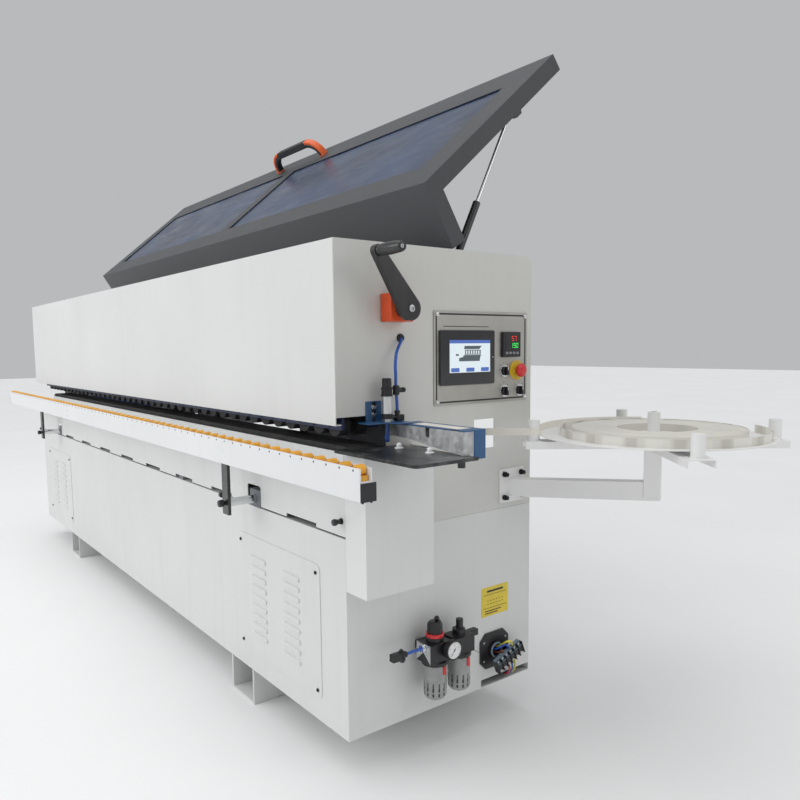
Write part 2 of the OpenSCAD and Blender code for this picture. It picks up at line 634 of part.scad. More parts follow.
module fence_guard() color("steelblue") difference() {
  union() {
    // cover on the fence with its end bent down behind the table
    block([guard_x0, y_edge - 1, fence_top], [fence_x1 + sheet, guard_y1, fence_top + sheet]);
    block([fence_x1, y_edge + fence_t + 1, table_top - 10], [fence_x1 + sheet, guard_y1, fence_top]);
    // flange that carries the stopper, bolted to the end face
    translate([flange_x0, yf + 43, fence_top + sheet]) linear_extrude(sheet)
      polygon([[0, 0], [50, 0], [52, 52], [flange_x1 - xr - 8, 70], [flange_x1 - xr, 112], [0, 112]]);
    end_plate(flange_y, flange_z - sheet, 48, 54, 2, xr, sheet);
  }
  rod_z(stop_x, stop_y, fence_top, flange_z + 1, 9);
}
stop_x = xr + 32;
stop_y = yf + 110;
cyl_z0 = flange_z + 8;
cyl_z1 = zc + 930;
pin_tip = work_h + 5;
pin_rod = 5;
pin_lift = 30;
module stopper_cylinder() color("silver") difference() {
  union() {
    rod_z(stop_x, stop_y, flange_z, cyl_z0, 14);
    rod_z(stop_x, stop_y, cyl_z0, cyl_z0 + 12, 14.5);
    rod_z(stop_x, stop_y, cyl_z0 + 12, cyl_z1 - 45, 13);
    rod_z(stop_x, stop_y, cyl_z1 - 45, cyl_z1 - 22, 15);
    rod_z(stop_x, stop_y, cyl_z1 - 22, cyl_z1, 12);
    // elbow that takes the hose
    rod_y(stop_x, stop_y + 10, stop_y + 32, cyl_z0 + 2, 6);
    block([stop_x - 8, stop_y + 26, cyl_z0 - 8], [stop_x + 8, stop_y + 50, cyl_z0 + 8]);
    rod_z(stop_x, hose_y - 37, cyl_z0 + 8, hose_z - 182, 6);
  }
  rod_z(stop_x, stop_y, flange_z - 1, cyl_z1 - 34, pin_rod + run);
}
module stopper_pin() color("royalblue") {
  rod_z(stop_x, stop_y, pin_tip + 14, cyl_z0 + 20, pin_rod);
  rod_z(stop_x, stop_y, pin_tip + 8, pin_tip + 22, 7);
  translate([stop_x, stop_y, pin_tip + 8]) sphere(r = 7);
}

// ---- cord sweep: a tube along hand-chosen points ----
function unit(v) = v / norm(v);
function along(pts, i) = unit(pts[min(i + 1, len(pts) - 1)] - pts[max(i - 1, 0)]);
function side_of(t) = unit(cross(t, abs(t[2]) < 0.9 ? [0, 0, 1] : [0, 1, 0]));
module sweep_tube(pts, r, n) {
  rings = [for (i = [0 : len(pts) - 1]) let (t = along(pts, i), s = side_of(t), u = cross(s, t))
    for (k = [0 : n - 1]) pts[i] + r * (cos(360 * k / n) * s + sin(360 * k / n) * u)];
  m = len(pts);
  sides = [for (i = [0 : m - 2], k = [0 : n - 1]) [i * n + k, i * n + (k + 1) % n, (i + 1) * n + (k + 1) % n, (i + 1) * n + k]];
  first = [[for (k = [0 : n - 1]) n - 1 - k]];
  last = [[for (k = [0 : n - 1]) (m - 1) * n + k]];
  polyhedron(points = rings, faces = concat(sides, first, last), convexity = 4);
}
// route of the stopper hose, measured from the hose hole
hose_pts = [
  [-10, 0, 0], [2, 0, 0], [10, -4, -4], [16, -12, -12], [20, -22, -24], [25, -32, -38], [29, -37, -50],
  [32, -41, -64], [33, -42, -80], [34, -42, -97], [34, -42, -114], [34, -41, -131], [34, -40, -148],
  [33, -38, -165], [32, -37, -182]
];
module stopper_hose() color("blue") {
  at = [xr, hose_y, hose_z];
  sweep_tube([for (q = hose_pts) at + q], hose_d / 2, 8);
}

// ---- support rail ----
rail_y1 = yf - 94;
rail_y0 = rail_y1 - rail_tube;
rail_x0 = xl - rail_outfeed;
rail_x1 = xr + rail_infeed;
rail_z1 = work_h - 6;
rail_z0 = rail_z1 - rail_top - rail_tube;
roller_r = 12;
roller_n = floor((rail_x1 - rail_x0 - 60) / roller_pitch);
module support_rail() color("whitesmoke") {
  difference() {
    block([rail_x0, rail_y0, rail_z0], [rail_x1, rail_y1, rail_z0 + rail_tube]);
    block([rail_x0 - 1, rail_y0 + 3, rail_z0 + 3], [rail_x1 + 1, rail_y1 - 3, rail_z0 + rail_tube - 3]);
  }
  difference() {
    block([rail_x0, rail_y0, rail_z0 + rail_tube], [rail_x1 - 3, rail_y1 - 8, rail_z1]);
    block([rail_x0 - 1, rail_y0 + 4, rail_z0 + rail_tube + 3], [rail_x1, rail_y1 - 12, rail_z1 + 1]);
  }
  // end plugs of the tube
  for (x = [rail_x0, rail_x1 - 6]) block([x, rail_y0 + 3, rail_z0 + 3], [x + 6, rail_y1 - 3, rail_z0 + rail_tube - 3]);
}
module rail_rollers() color("orange") {
  block([rail_x0 + 10, rail_y0 + 5, rail_z0 + rail_tube + 3], [rail_x1 - 10, rail_y1 - 13, work_h - 2 * roller_r + 1]);
  for (i = [0 : roller_n]) rod_y(rail_x0 + 34 + i * roller_pitch, rail_y0 + 6, rail_y1 - 14, work_h - roller_r, roller_r);
}
bar_t = 10;
bar_w = 40;
rod_out = 88;
rod_len = 440;
module rail_rods() color("black") for (x = rod_xs) {
  block([x - bar_w / 2, rail_y1, rod_z0 - 35], [x + bar_w / 2, rail_y1 + bar_t, rail_z0 + 36]);
  rod_y(x, rail_y1 + bar_t, rail_y1 + bar_t + rod_len, rod_z0, rod_d / 2);
  rod_y(x, rail_y1 - 22, rail_y1, rod_z0, 11);
}

// ---- tape tray ----
mount_y = yf + 540;
mount_z = zc + 547;
mount_w = 101;
tray_x = xr + 350;
tray_y = yf + 780;
tray_turn = 50;
cross_top = zc + 747;
cross_h = 20;
cross_w = 66;
cross_reach = post_reach + 26;
arm_z0 = zc + 565;
arm_h = 52;
arm_rise = 16;
arm_run = norm([tray_x - xr - 6, tray_y - mount_y - mount_w / 2]);
arm_turn = atan2(tray_y - mount_y - mount_w / 2, tray_x - xr - 6);
module tray_arm() color("whitesmoke") {
  end_plate(mount_y, mount_z, mount_w, 100, 3, xr, 6);
  // sloping channel, cut square where it meets its mounting plate
  intersection() {
    translate([xr + 6, mount_y + mount_w / 2, arm_z0]) rotate([0, -atan2(arm_rise, arm_run), arm_turn]) difference() {
      translate([-30, -20, 0]) cube([arm_run + 52, 40, arm_h]);
      translate([24, -17, -1]) cube([arm_run - 50, 34, arm_h - 2]);
    }
    block([xr + 6, mount_y, arm_z0 - 5], [tray_x + 60, tray_y + 60, arm_z0 + arm_h + arm_rise + 5]);
  }
  translate([tray_x, tray_y, arm_z0 + arm_rise + 8]) rotate([0, 0, arm_turn]) translate([-22, -21.5, 0])
    cube([44, 43, cross_top - cross_h - arm_z0 - arm_rise - 8]);
}
module tray_cross() color("whitesmoke") translate([tray_x, tray_y, 0]) rotate([0, 0, tray_turn]) difference() {
  union() {
    difference() {
      for (a = [0, 90]) rotate([0, 0, a]) translate([-cross_reach, -cross_w / 2, cross_top - cross_h])
        cube([2 * cross_reach, cross_w, cross_h]);
      for (a = [0, 90]) rotate([0, 0, a]) for (s = [0, 180]) rotate([0, 0, s])
        translate([cross_w / 2 + 10, -cross_w / 2 + 3, cross_top - cross_h - 1])
          cube([cross_reach, cross_w - 6, cross_h - 2]);
    }
    for (a = [0, 90, 180, 270]) rotate([0, 0, a]) translate([post_reach, 0, cross_top]) cylinder(r = post_d / 2, h = post_h);
    translate([0, 0, cross_top]) cylinder(r = 12, h = 60);
    translate([0, 0, cross_top]) cylinder(r = 28, h = 6);
  }
}
disc_z = cross_top + 12;
disc_t = 3;
module tray_disc() color("white") translate([tray_x, tray_y, 0]) difference() {
  union() {
    translate([0, 0, disc_z]) cylinder(r = disc_r, h = disc_t);
    translate([0, 0, cross_top + 6 + eye_gap]) cylinder(r = 40, h = disc_z - cross_top - 6 - eye_gap);
    translate([0, 0, disc_z + disc_t]) cylinder(r = post_d / 2, h = 62);
  }
  translate([0, 0, cross_top]) cylinder(r = 12 + run, h = 61);
}
tape_z = disc_z + disc_t;
tape_t = 1.2;
loose_r = 286;
// loose outer turn of the coil, a spiral between coil_r and loose_r
function spiral(a0, a1, r0, r1, n) = [for (i = [0 : n]) let (a = a0 + (a1 - a0) * i / n, r = r0 + (r1 - r0) * i / n)
  r * [cos(a), sin(a)]];
function left_of(pts, i) = let (n = len(pts) - 1, d = unit(pts[min(i + 1, n)] - pts[max(i - 1, 0)])) [-d[1], d[0]];
module band(pts, t) polygon(concat(
  [for (i = [0 : len(pts) - 1]) pts[i] + t / 2 * left_of(pts, i)],
  [for (i = [len(pts) - 1 : -1 : 0]) pts[i] - t / 2 * left_of(pts, i)]
));
module tape_coil() color("antiquewhite") translate([tray_x, tray_y, tape_z]) {
  difference() {
    cylinder(r = coil_r, h = tape_w);
    translate([0, 0, -1]) cylinder(r = 104, h = tape_w + 2);
  }
  linear_extrude(tape_w) band(spiral(-330, 60, coil_r - 0.3, loose_r, 65), tape_t);
}
// free end of the tape: along the rim, round the first post and down to the entry window
post_at = [tray_x + post_reach * cos(tray_turn + 180), tray_y + post_reach * sin(tray_turn + 180)];
wrap_r = post_d / 2 + gap + tape_t / 2;
rim_r = post_reach - wrap_r;
leave = -76;
drop = 3.6;
window_run = (post_at[0] - xr + 25) / cos(leave + 90);
module edge_tape() color("antiquewhite") {
  on_rim = [for (q = spiral(130, 226, rim_r - 16, rim_r, 16)) [tray_x, tray_y] + q];
  round_post = [for (a = [tray_turn : -14 : leave - 1]) post_at + wrap_r * [cos(a), sin(a)]];
  translate([0, 0, tape_z + 1]) linear_extrude(tape_w - 2) band(concat(on_rim, round_post), tape_t);
  exit = post_at + wrap_r * [cos(leave), sin(leave)];
  translate([exit[0], exit[1], tape_z + 1]) rotate([0, 0, leave + 90]) rotate([0, -drop, 0])
    translate([-window_run, -tape_t / 2, 0]) cube([window_run + 0.5, tape_t, tape_w - 2]);
}

// ---- controls ----
plate_y = yf + 290;
plate_z = zc + 847;
plate_t = 3;
screen_y = yf + 308;
screen_z = zc + 901;
ctrl_y = yf + 545;
ctrl_z = zc + 975;
stop_btn = [yf + 609, zc + 936];
sel_upper = [yf + 556, zc + 935];
sel_front = [yf + 556, zc + 877];
sel_rear = [yf + 618, zc + 877];
sel_r = 17;
ring_t = 5;
module control_plate() color("silver") difference() {
  union() {
    end_plate(plate_y, plate_z, plate_w, plate_h, 4, xr, plate_t);
    for (q = [sel_upper, sel_front, sel_rear]) rod_x(xr + plate_t, xr + plate_t + ring_t, q[0], q[1], sel_r);
    rod_x(xr + plate_t, xr + plate_t + 2, stop_btn[0], stop_btn[1], 29);
    rod_x(xr + plate_t, xr + plate_t + 7, stop_btn[0], stop_btn[1], 15);
  }
  for (q = [sel_upper, sel_front, sel_rear]) rod_x(xr - 1, xr + plate_t + 9, q[0], q[1], 9 + run);
  rod_x(xr - 1, xr + plate_t + 15, stop_btn[0], stop_btn[1], 8 + run);
}
module touch_screen() color("black") end_plate(screen_y, screen_z, screen_w, screen_h, 5, xr + plate_t, 7);
module temperature_controller() color([0.15, 0.15, 0.15])
  end_plate(ctrl_y, ctrl_z, controller_s, controller_s, 3, xr + plate_t, 9);
module emergency_stop() color("red") {
  rod_x(xr + plate_t + 2, xr + plate_t + 13, stop_btn[0], stop_btn[1], 8);
  rod_x(xr + plate_t + 12, xr + plate_t + 16, stop_btn[0], stop_btn[1], 16);
  rod_x(xr + plate_t + 16, xr + plate_t + 26, stop_btn[0], stop_btn[1], 20);
}
module selector(q) color([0.1, 0.1, 0.1]) {
  rod_x(xr + 1, xr + plate_t + ring_t + 2, q[0], q[1], 9);
  rod_x(xr + plate_t + ring_t + gap, xr + plate_t + ring_t + 4, q[0], q[1], 13);
  block([xr + plate_t + ring_t + 4, q[0] - 4, q[1] - 12], [xr + plate_t + ring_t + 13, q[0] + 4, q[1] + 12]);
}
module selector_upper() selector(sel_upper);
module selector_front() selector(sel_front);
module selector_rear() selector(sel_rear);

// ---- air service unit ----
air_x = xr + 58;
reg_y = yf + 241;
oil_y = yf + 327;
head_z = zc + 166;
head_h = 62;
knob_z = head_z + head_h + 22;
gauge_z = zc + 210;
module air_unit() color([0.12, 0.12, 0.13]) {
  difference() {
    union() {
      block([air_x - 30, reg_y - 40, head_z + 10], [air_x + 30, reg_y + 34, head_z + head_h]);
      rod_z(air_x, reg_y, head_z, head_z + 10, 36);
    }
    rod_z(air_x, reg_y, head_z + head_h - 30, head_z + head_h + 1, 8 + run);
  }
  block([air_x - 28, oil_y - 34, head_z + 10], [air_x + 28, oil_y + 34, head_z + head_h - 4]);
  rod_z(air_x, oil_y, head_z, head_z + 10, 34);
  rod_z(air_x, oil_y, head_z + head_h - 4, head_z + head_h + 12, 18);
  rod_z(air_x, oil_y + 3, head_z + head_h + 12, head_z + head_h + 38, 10);
  block([air_x - 14, reg_y + 34, head_z + 22], [air_x + 14, oil_y - 34, head_z + 52]);
  block([air_x - 9, oil_y + 34, head_z + 40], [air_x + 9, oil_y + 66, head_z + 58]);
  // wall bracket, gauge and inlet fitting
  block([xr, reg_y - 22, head_z + 24], [air_x - 30, reg_y + 22, head_z + 50]);
  rod_x(air_x + 30, xr + 94, reg_y + 23, gauge_z, 6);
  rod_x(xr + 94, xr + 110, reg_y + 23, gauge_z, 26);
  rod_y(air_x, reg_y - 48, reg_y - 40, head_z + 50, 11);
  rod_y(air_x, reg_y - 102, reg_y - 48, head_z + 50, 4);
  rod_y(air_x, reg_y - 116, reg_y - 98, head_z + 50, 8);
  block([air_x - 9, reg_y - 146, head_z + 40], [air_x + 9, reg_y - 116, head_z + 60]);
}
module regulator_knob() color([0.1, 0.1, 0.1]) {
  rod_z(air_x, reg_y, head_z + head_h - 25, knob_z, 8);
  rod_z(air_x, reg_y, head_z + head_h + gap, knob_z, 24);
  rod_z(air_x, reg_y, knob_z, knob_z + 30, 20);
}
module air_bowls() color("gray") {
  for (q = [reg_y, oil_y]) {
    rod_z(air_x, q, zc + 78, head_z, 31);
    rod_z(air_x, q, zc + 67, zc + 78, 24);
  }
}

// ---- cable gland plate and leads ----
gland_y = yf + 520;
gland_z = zc + 110;
gland_bore = 30;
gland_w = 116;
gland_h = 108;
cut = 22;
module cut_plate(y, z, w, h, c, x, t) yz_extrude(x, x + t) polygon([
  [y + c, z], [y + w - c, z], [y + w, z + c], [y + w, z + h - c], [y + w - c, z + h], [y + c, z + h], [y, z + h - c], [y, z + c]
]);
term_y = yf + 543;
term_z = zc + 92;
term_turn = 22;
module cable_gland() color([0.08, 0.08, 0.09]) {
  difference() {
    cut_plate(gland_y - gland_w / 2, gland_z - gland_h / 2, gland_w, gland_h, cut, xr, 5);
    rod_x(xr - 1, xr + 6, gland_y, gland_z, 24);
  }
  difference() {
    rod_x(xr - 14, xr + 14, gland_y, gland_z, 23.7);
    rod_x(xr - 15, xr + 15, gland_y, gland_z, 17);
  }
  // terminal block on its bracket
  difference() {
    translate([xr, term_y, term_z]) rotate([term_turn, 0, 0]) {
      translate([30, -55, -21]) cube([12, 110, 42]);
      translate([42, -55, -9]) cube([8, 110, 18]);
      for (i = [0 : 5], s = [-1, 1]) translate([42, -45 + 18 * i, 15 * s]) rotate([0, 90, 0]) cylinder(r = 4, h = 3);
    }
    for (route = lead_pts) if (route[0][0] < 0) socket(route[4], route[5]);
    for (route = lead_pts) if (route[0][0] > 0) socket(route[1], route[0]);
  }
  block([xr, term_y + 18, term_z - 14], [xr + 31, term_y + 34, term_z + 4]);
}
lead_r = 3;
// round socket along the line from a to b, from the gland centre
module socket(a, b) {
  d = b - a;
  translate([xr, gland_y, gland_z] + a) rotate([0, acos(d[2] / norm(d)), atan2(d[1], d[0])])
    cylinder(r = lead_r + gap, h = norm(d) + 2);
}
// leads from the gland to the terminal block, one list per lead, from the gland centre
lead_pts = [
  [[-6, 8, 6], [12, 8, 7], [24, 12, 16], [34, 22, 26], [38, 34, 24], [37, 40, 12]],
  [[-6, -6, 4], [14, -5, 4], [26, 2, 12], [34, 12, 18], [37, 20, 14], [36, 24, 2]],
  [[-6, 0, -9], [12, 0, -8], [24, 0, -4], [32, 2, 2], [35, 4, 2], [35, 5, -4]],
  [[36, 26, -39], [36, 30, -52], [30, 38, -66], [18, 46, -80], [6, 52, -90], [-8, 54, -96]],
  [[36, 38, -34], [36, 42, -48], [30, 50, -64], [18, 57, -80], [6, 63, -90], [-8, 65, -96]],
  [[36, 50, -29], [36, 54, -44], [30, 61, -62], [18, 68, -79], [6, 74, -90], [-8, 76, -96]]
];
module lead_wires() color("green") for (route = lead_pts)
  sweep_tube([for (q = route) [xr, gland_y, gland_z] + q], lead_r, 8);

// ---- units on the deck ----
glue_x = xr - 330;
module glue_unit() color("gray") {
  difference() {
    union() {
      block([glue_x - 10, y_edge + 50, deck_z], [glue_x + 130, y_edge + 190, work_h - 20]);
      block([glue_x - 60, y_edge + 20, work_h - 20], [glue_x + 130, y_edge + 200, work_h - 4]);
      rod_z(glue_x + 60, y_edge + 110, work_h - 4, work_h + 170, 62);
      rod_z(glue_x + 60, y_edge + 110, work_h + 170, work_h + 182, 68);
    }
    rod_z(glue_x - 30, y_edge + 42, work_h - 21, work_h - 3, 9 + run);
    rod_z(glue_x + 60, y_edge + 110, work_h + 10, work_h + 183, 54);
  }
  // drive motor of the glue roller
  block([glue_x - 62, y_edge + 200, deck_z], [glue_x + 50, y_edge + 290, work_h - 40]);
  rod_z(glue_x - 6, y_edge + 246, work_h - 40, work_h + 60, 42);
}
module glue_roller() color("silver") {
  rod_z(glue_x - 30, y_edge + 42, work_h - 120, work_h + 4, 9);
  rod_z(glue_x - 30, y_edge + 42, work_h + 4, work_h + 66, 32);
  rod_z(glue_x - 30, y_edge + 42, work_h + 66, work_h + 80, 12);
}
roll_x = glue_x - 170;
roll_foot = rod_z0 + 55;      // the shaft ends above the rail rod
module press_roller() color("dimgray") {
  rod_z(roll_x, y_edge + 52, roll_foot, work_h + 90, 10);
  rod_z(roll_x, y_edge + 52, work_h - 2, work_h + 62, 50);
}
trim_x = roll_x - 640;
rail_len = 520;
module end_trim_carriage() color("silver") difference() {
  union() {
    block([trim_x + 140, y_edge + 60, work_h + 120], [trim_x + 300, y_edge + 190, work_h + 260]);
    rod_z(trim_x + 220, y_edge + 90, work_h + 30, work_h + 120, 36);
    rod_z(trim_x + 220, y_edge + 90, work_h + 22, work_h + 30, 60);
    rod_z(trim_x + 220, y_edge + 125, work_h + 260, work_h + 330, 40);
  }
  for (z = [160, 220]) rod_x(trim_x + 139, trim_x + 301, y_edge + 150, work_h + z, 12 + run);
}
module spindle_motor(x, y, z, s) {
  block([x - 30, y + 30, min(z + s * 20, z + s * 130)], [x + 30, y + 51, max(z + s * 20, z + s * 130)]);
  rod_z(x, y, min(z, z + s * 150), max(z, z + s * 150), 46);
  rod_z(x, y, min(z, z - s * 30), max(z, z - s * 30), 14);
  rod_z(x, y, min(z - s * 12, z - s * 30), max(z - s * 12, z - s * 30), 32);
}
fine_xs = [trim_x - 240, trim_x - 400];
buff_x = trim_x - 900;
module trim_buff_units() color([0.25, 0.27, 0.3]) {
  difference() {
    // press roller carrier
    union() {
      block([roll_x - 90, deck_y + 62, deck_z], [roll_x + 90, y_edge + 170, work_h - 40]);
      block([roll_x - 50, y_edge + 22, roll_foot - 10], [roll_x + 50, deck_y + 63, work_h - 40]);
      block([roll_x - 90, y_edge + 110, work_h - 40], [roll_x + 90, y_edge + 170, work_h + 110]);
      block([roll_x - 90, y_edge + 20, work_h + 80], [roll_x + 90, y_edge + 110, work_h + 110]);
    }
    rod_z(roll_x, y_edge + 52, roll_foot - 11, work_h + 111, 10 + run);
    for (x = rod_xs) rod_y(x, y_edge, y_edge + 200, rod_z0, rod_d / 2 + 6);
  }
  // end trimming slideway
  for (x = [trim_x, trim_x + rail_len - 30]) block([x, y_edge + 120, deck_z], [x + 30, y_edge + 180, work_h + 250]);
  for (z = [160, 220]) rod_x(trim_x + 29, trim_x + rail_len - 29, y_edge + 150, work_h + z, 12);
  // fine trimming stands with upper and lower motors
  for (x = fine_xs) {
    block([x - 60, y_edge + 150, deck_z], [x + 60, y_edge + 210, work_h + 240]);
    spindle_motor(x, y_edge + 100, work_h + 70, 1);
    spindle_motor(x, y_edge + 100, work_h - 40, -1);
  }
  // buffing stand
  difference() {
    union() {
      block([buff_x - 50, y_edge + 130, deck_z], [buff_x + 50, y_edge + 190, work_h + 200]);
      rod_y(buff_x, y_edge + 100, y_edge + 260, work_h + 150, 44);
    }
    rod_y(buff_x, y_edge + 90, y_edge + 140, work_h + 150, 10 + run);
  }
}
module buffing_wheel() color("whitesmoke") {
  rod_y(buff_x, y_edge + 20, y_edge + 60, work_h + 150, 70);
  rod_y(buff_x, y_edge + 10, y_edge + 135, work_h + 150, 10);
}

cabinet();
floor_channels();
front_panel();
vent_covers();
fasteners();
end_panel_infeed();
end_panel_outfeed();
beam_hood();
machine_frame();
conveyor_beam();
conveyor_end_housing();
conveyor_pads();
sprocket_infeed();
sprocket_outfeed();
drive_motor();
pressure_beam();
pressure_wheels();
crank_arm();
crank_grip();
position_indicator();
union() { lid_shell(); color("dimgray") lid_knuckles(); }
lid_windows();
lid_handle();
lid_hinges();
color("black") strut_tube(strut_x[0]);  // strut_tube_infeed
color("silver") strut_rod(strut_x[0]);  // strut_rod_infeed
color("black") strut_tube(strut_x[1]);  // strut_tube_outfeed
color("silver") strut_rod(strut_x[1]);  // strut_rod_outfeed
infeed_table();
infeed_fence();
fence_guard();
stopper_cylinder();
stopper_pin();
stopper_hose();
support_rail();
rail_rollers();
rail_rods();
tray_arm();
tray_cross();
tray_disc();
tape_coil();
edge_tape();
control_plate();
touch_screen();
temperature_controller();
emergency_stop();
selector_upper();
selector_front();
selector_rear();
air_unit();
regulator_knob();
air_bowls();
cable_gland();
lead_wires();
glue_unit();
glue_roller();
press_roller();
end_trim_carriage();
trim_buff_units();
buffing_wheel();
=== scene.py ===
import json
from math import cos, hypot, pi, radians, sin

import bmesh
import bpy
from mathutils import Matrix, Vector, noise

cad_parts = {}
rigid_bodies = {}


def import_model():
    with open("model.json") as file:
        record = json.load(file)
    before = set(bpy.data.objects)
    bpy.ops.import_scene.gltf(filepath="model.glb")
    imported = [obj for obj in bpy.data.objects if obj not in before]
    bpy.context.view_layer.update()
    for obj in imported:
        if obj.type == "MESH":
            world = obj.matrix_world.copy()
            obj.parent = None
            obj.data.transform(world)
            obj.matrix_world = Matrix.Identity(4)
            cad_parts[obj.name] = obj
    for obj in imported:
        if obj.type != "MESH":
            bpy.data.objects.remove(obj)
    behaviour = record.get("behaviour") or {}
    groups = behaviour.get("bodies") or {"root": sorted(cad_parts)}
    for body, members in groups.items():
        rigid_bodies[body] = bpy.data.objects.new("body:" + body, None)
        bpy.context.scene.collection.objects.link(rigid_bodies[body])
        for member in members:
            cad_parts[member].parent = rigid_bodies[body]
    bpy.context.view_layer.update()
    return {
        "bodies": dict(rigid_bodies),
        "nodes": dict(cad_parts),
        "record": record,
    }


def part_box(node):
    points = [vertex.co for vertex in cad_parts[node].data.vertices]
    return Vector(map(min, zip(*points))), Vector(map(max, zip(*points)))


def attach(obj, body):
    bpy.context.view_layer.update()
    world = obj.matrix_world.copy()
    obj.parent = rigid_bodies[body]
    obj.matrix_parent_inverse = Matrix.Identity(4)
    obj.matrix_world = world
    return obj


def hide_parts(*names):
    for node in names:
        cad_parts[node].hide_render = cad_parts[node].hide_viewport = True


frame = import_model()

NODES = frame["nodes"]
MM = 0.001
BODY_NAMES = {empty: name for name, empty in frame["bodies"].items()}
SLOTS = {row["node"]: row["material_slot"] for row in frame["record"]["subparts"]}


def low(node):
    """Lowest corner of a node at rest, in metres."""
    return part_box(node)[0]


def high(node):
    """Highest corner of a node at rest, in metres."""
    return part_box(node)[1]


def middle(node):
    return (low(node) + high(node)) / 2


def body_for(node):
    """Name of the body that a node rides on."""
    return BODY_NAMES[NODES[node].parent]


# main planes and sizes, taken from the frame
END_X = high("cabinet").x
FRONT_Y = low("cabinet").y
REAR_Y = high("cabinet").y
SEAM_Z = high("cabinet").z
LID_ANGLE = radians(41)
LID_BEND = Vector((0, -0.0642, 1.549))


# ---- node helpers for the materials ----
def shader(name):
    made = bpy.data.materials.new(name)
    made.use_nodes = True
    return made, made.node_tree, made.node_tree.nodes["Principled BSDF"]


def object_space(tree, scale=(1, 1, 1), shift=(0, 0, 0)):
    """Object coordinates, scaled and shifted for one pattern."""
    place = tree.nodes.new("ShaderNodeTexCoord")
    mapping = tree.nodes.new("ShaderNodeMapping")
    mapping.inputs["Scale"].default_value = scale
    mapping.inputs["Location"].default_value = shift
    tree.links.new(place.outputs["Object"], mapping.inputs["Vector"])
    return mapping.outputs["Vector"]


def clouds(tree, vector, scale, detail=3.0, roughness=0.5):
    """Noise value over the given space."""
    made = tree.nodes.new("ShaderNodeTexNoise")
    made.inputs["Scale"].default_value = scale
    made.inputs["Detail"].default_value = detail
    made.inputs["Roughness"].default_value = roughness
    tree.links.new(vector, made.inputs["Vector"])
    return made.outputs["Fac"]


def cells(tree, vector, scale, feature="F1"):
    made = tree.nodes.new("ShaderNodeTexVoronoi")
    made.feature = feature
    made.inputs["Scale"].default_value = scale
    tree.links.new(vector, made.inputs["Vector"])
    return made


def spread(tree, value, low_out, high_out, low_in=0.3, high_in=0.7):
    """Maps a value onto a range, such as a roughness."""
    made = tree.nodes.new("ShaderNodeMapRange")
    for key, number in zip(("From Min", "From Max", "To Min", "To Max"),
                           (low_in, high_in, low_out, high_out)):
        made.inputs[key].default_value = number
    tree.links.new(value, made.inputs["Value"])
    return made.outputs["Result"]


def shade(colour, factor):
    """A colour made darker or lighter, with full alpha."""
    return tuple(min(1.0, c * factor) for c in colour[:3]) + (1.0,)


def ramp(tree, value, stops):
    """Colour ramp over a value."""
    made = tree.nodes.new("ShaderNodeValToRGB")
    line = made.color_ramp.elements
    line[0].position, line[0].color = stops[0]
    line[1].position, line[1].color = stops[-1]
    for place, colour in stops[1:-1]:
        line.new(place).color = colour
    tree.links.new(value, made.inputs["Fac"])
    return made.outputs["Color"]


def blended(tree, kind, factor, first, second):
    made = tree.nodes.new("ShaderNodeMix")
    made.data_type = "RGBA"
    made.blend_type = kind
    if isinstance(factor, float):
        made.inputs["Factor"].default_value = factor
    else:
        tree.links.new(factor, made.inputs["Factor"])
    tree.links.new(first, made.inputs["A"])
    if isinstance(second, tuple):
        made.inputs["B"].default_value = second
    else:
        tree.links.new(second, made.inputs["B"])
    return made.outputs["Result"]


def relief(tree, principled, height, strength, distance, under=None):
    """Bump from a value, on top of any relief below it."""
    made = tree.nodes.new("ShaderNodeBump")
    made.inputs["Strength"].default_value = strength
    made.inputs["Distance"].default_value = distance
    tree.links.new(height, made.inputs["Height"])
    if under is not None:
        tree.links.new(under, made.inputs["Normal"])
    tree.links.new(made.outputs["Normal"], principled.inputs["Normal"])
    return made.outputs["Normal"]


# ---- materials ----
def paint(name, colour, rough=0.42, peel=900.0, peel_depth=0.12, mottle=0.035, grime=0.06, coat=0.0,
          metal=0.0):
    """Sprayed or stoved paint: slow tone drift, faint run-down dust, orange peel."""
    made, tree, skin = shader(name)
    space = object_space(tree)
    drift = clouds(tree, space, 1.7, 4.0)
    tone = ramp(tree, drift, [(0.3, shade(colour, 1 - mottle)), (0.7, shade(colour, 1 + mottle))])
    falls = clouds(tree, object_space(tree, (26, 26, 1.6)), 1.0, 5.0, 0.6)
    dust = spread(tree, falls, 0.0, grime, 0.5, 0.8)
    tone = blended(tree, "MIX", dust, tone, shade((0.34, 0.33, 0.30), 1.0))
    tree.links.new(tone, skin.inputs["Base Color"])
    handled = clouds(tree, space, 14.0, 5.0, 0.6)
    tree.links.new(spread(tree, handled, rough - 0.07, rough + 0.09), skin.inputs["Roughness"])
    skin.inputs["Metallic"].default_value = metal
    skin.inputs["Coat Weight"].default_value = coat
    skin.inputs["Coat Roughness"].default_value = 0.2
    relief(tree, skin, clouds(tree, space, peel, 2.0), peel_depth, 0.0004)
    return made


def hammered(name, colour):
    """Coarse textured stoving enamel, as on the lid."""
    made, tree, skin = shader(name)
    space = object_space(tree)
    fleck = cells(tree, space, 520.0)
    drift = clouds(tree, space, 3.0, 4.0)
    tone = ramp(tree, drift, [(0.3, shade(colour, 0.86)), (0.7, shade(colour, 1.12))])
    fine = spread(tree, clouds(tree, space, 650.0, 3.0), 0.0, 0.45, 0.45, 0.75)
    tone = blended(tree, "MIX", fine, tone, shade(colour, 1.7))
    tree.links.new(tone, skin.inputs["Base Color"])
    tree.links.new(spread(tree, drift, 0.42, 0.56), skin.inputs["Roughness"])
    skin.inputs["Specular IOR Level"].default_value = 0.55
    coarse = relief(tree, skin, fleck.outputs["Distance"], 0.5, 0.0009)
    relief(tree, skin, clouds(tree, space, 260.0, 4.0, 0.65), 0.45, 0.0012, coarse)
    return made


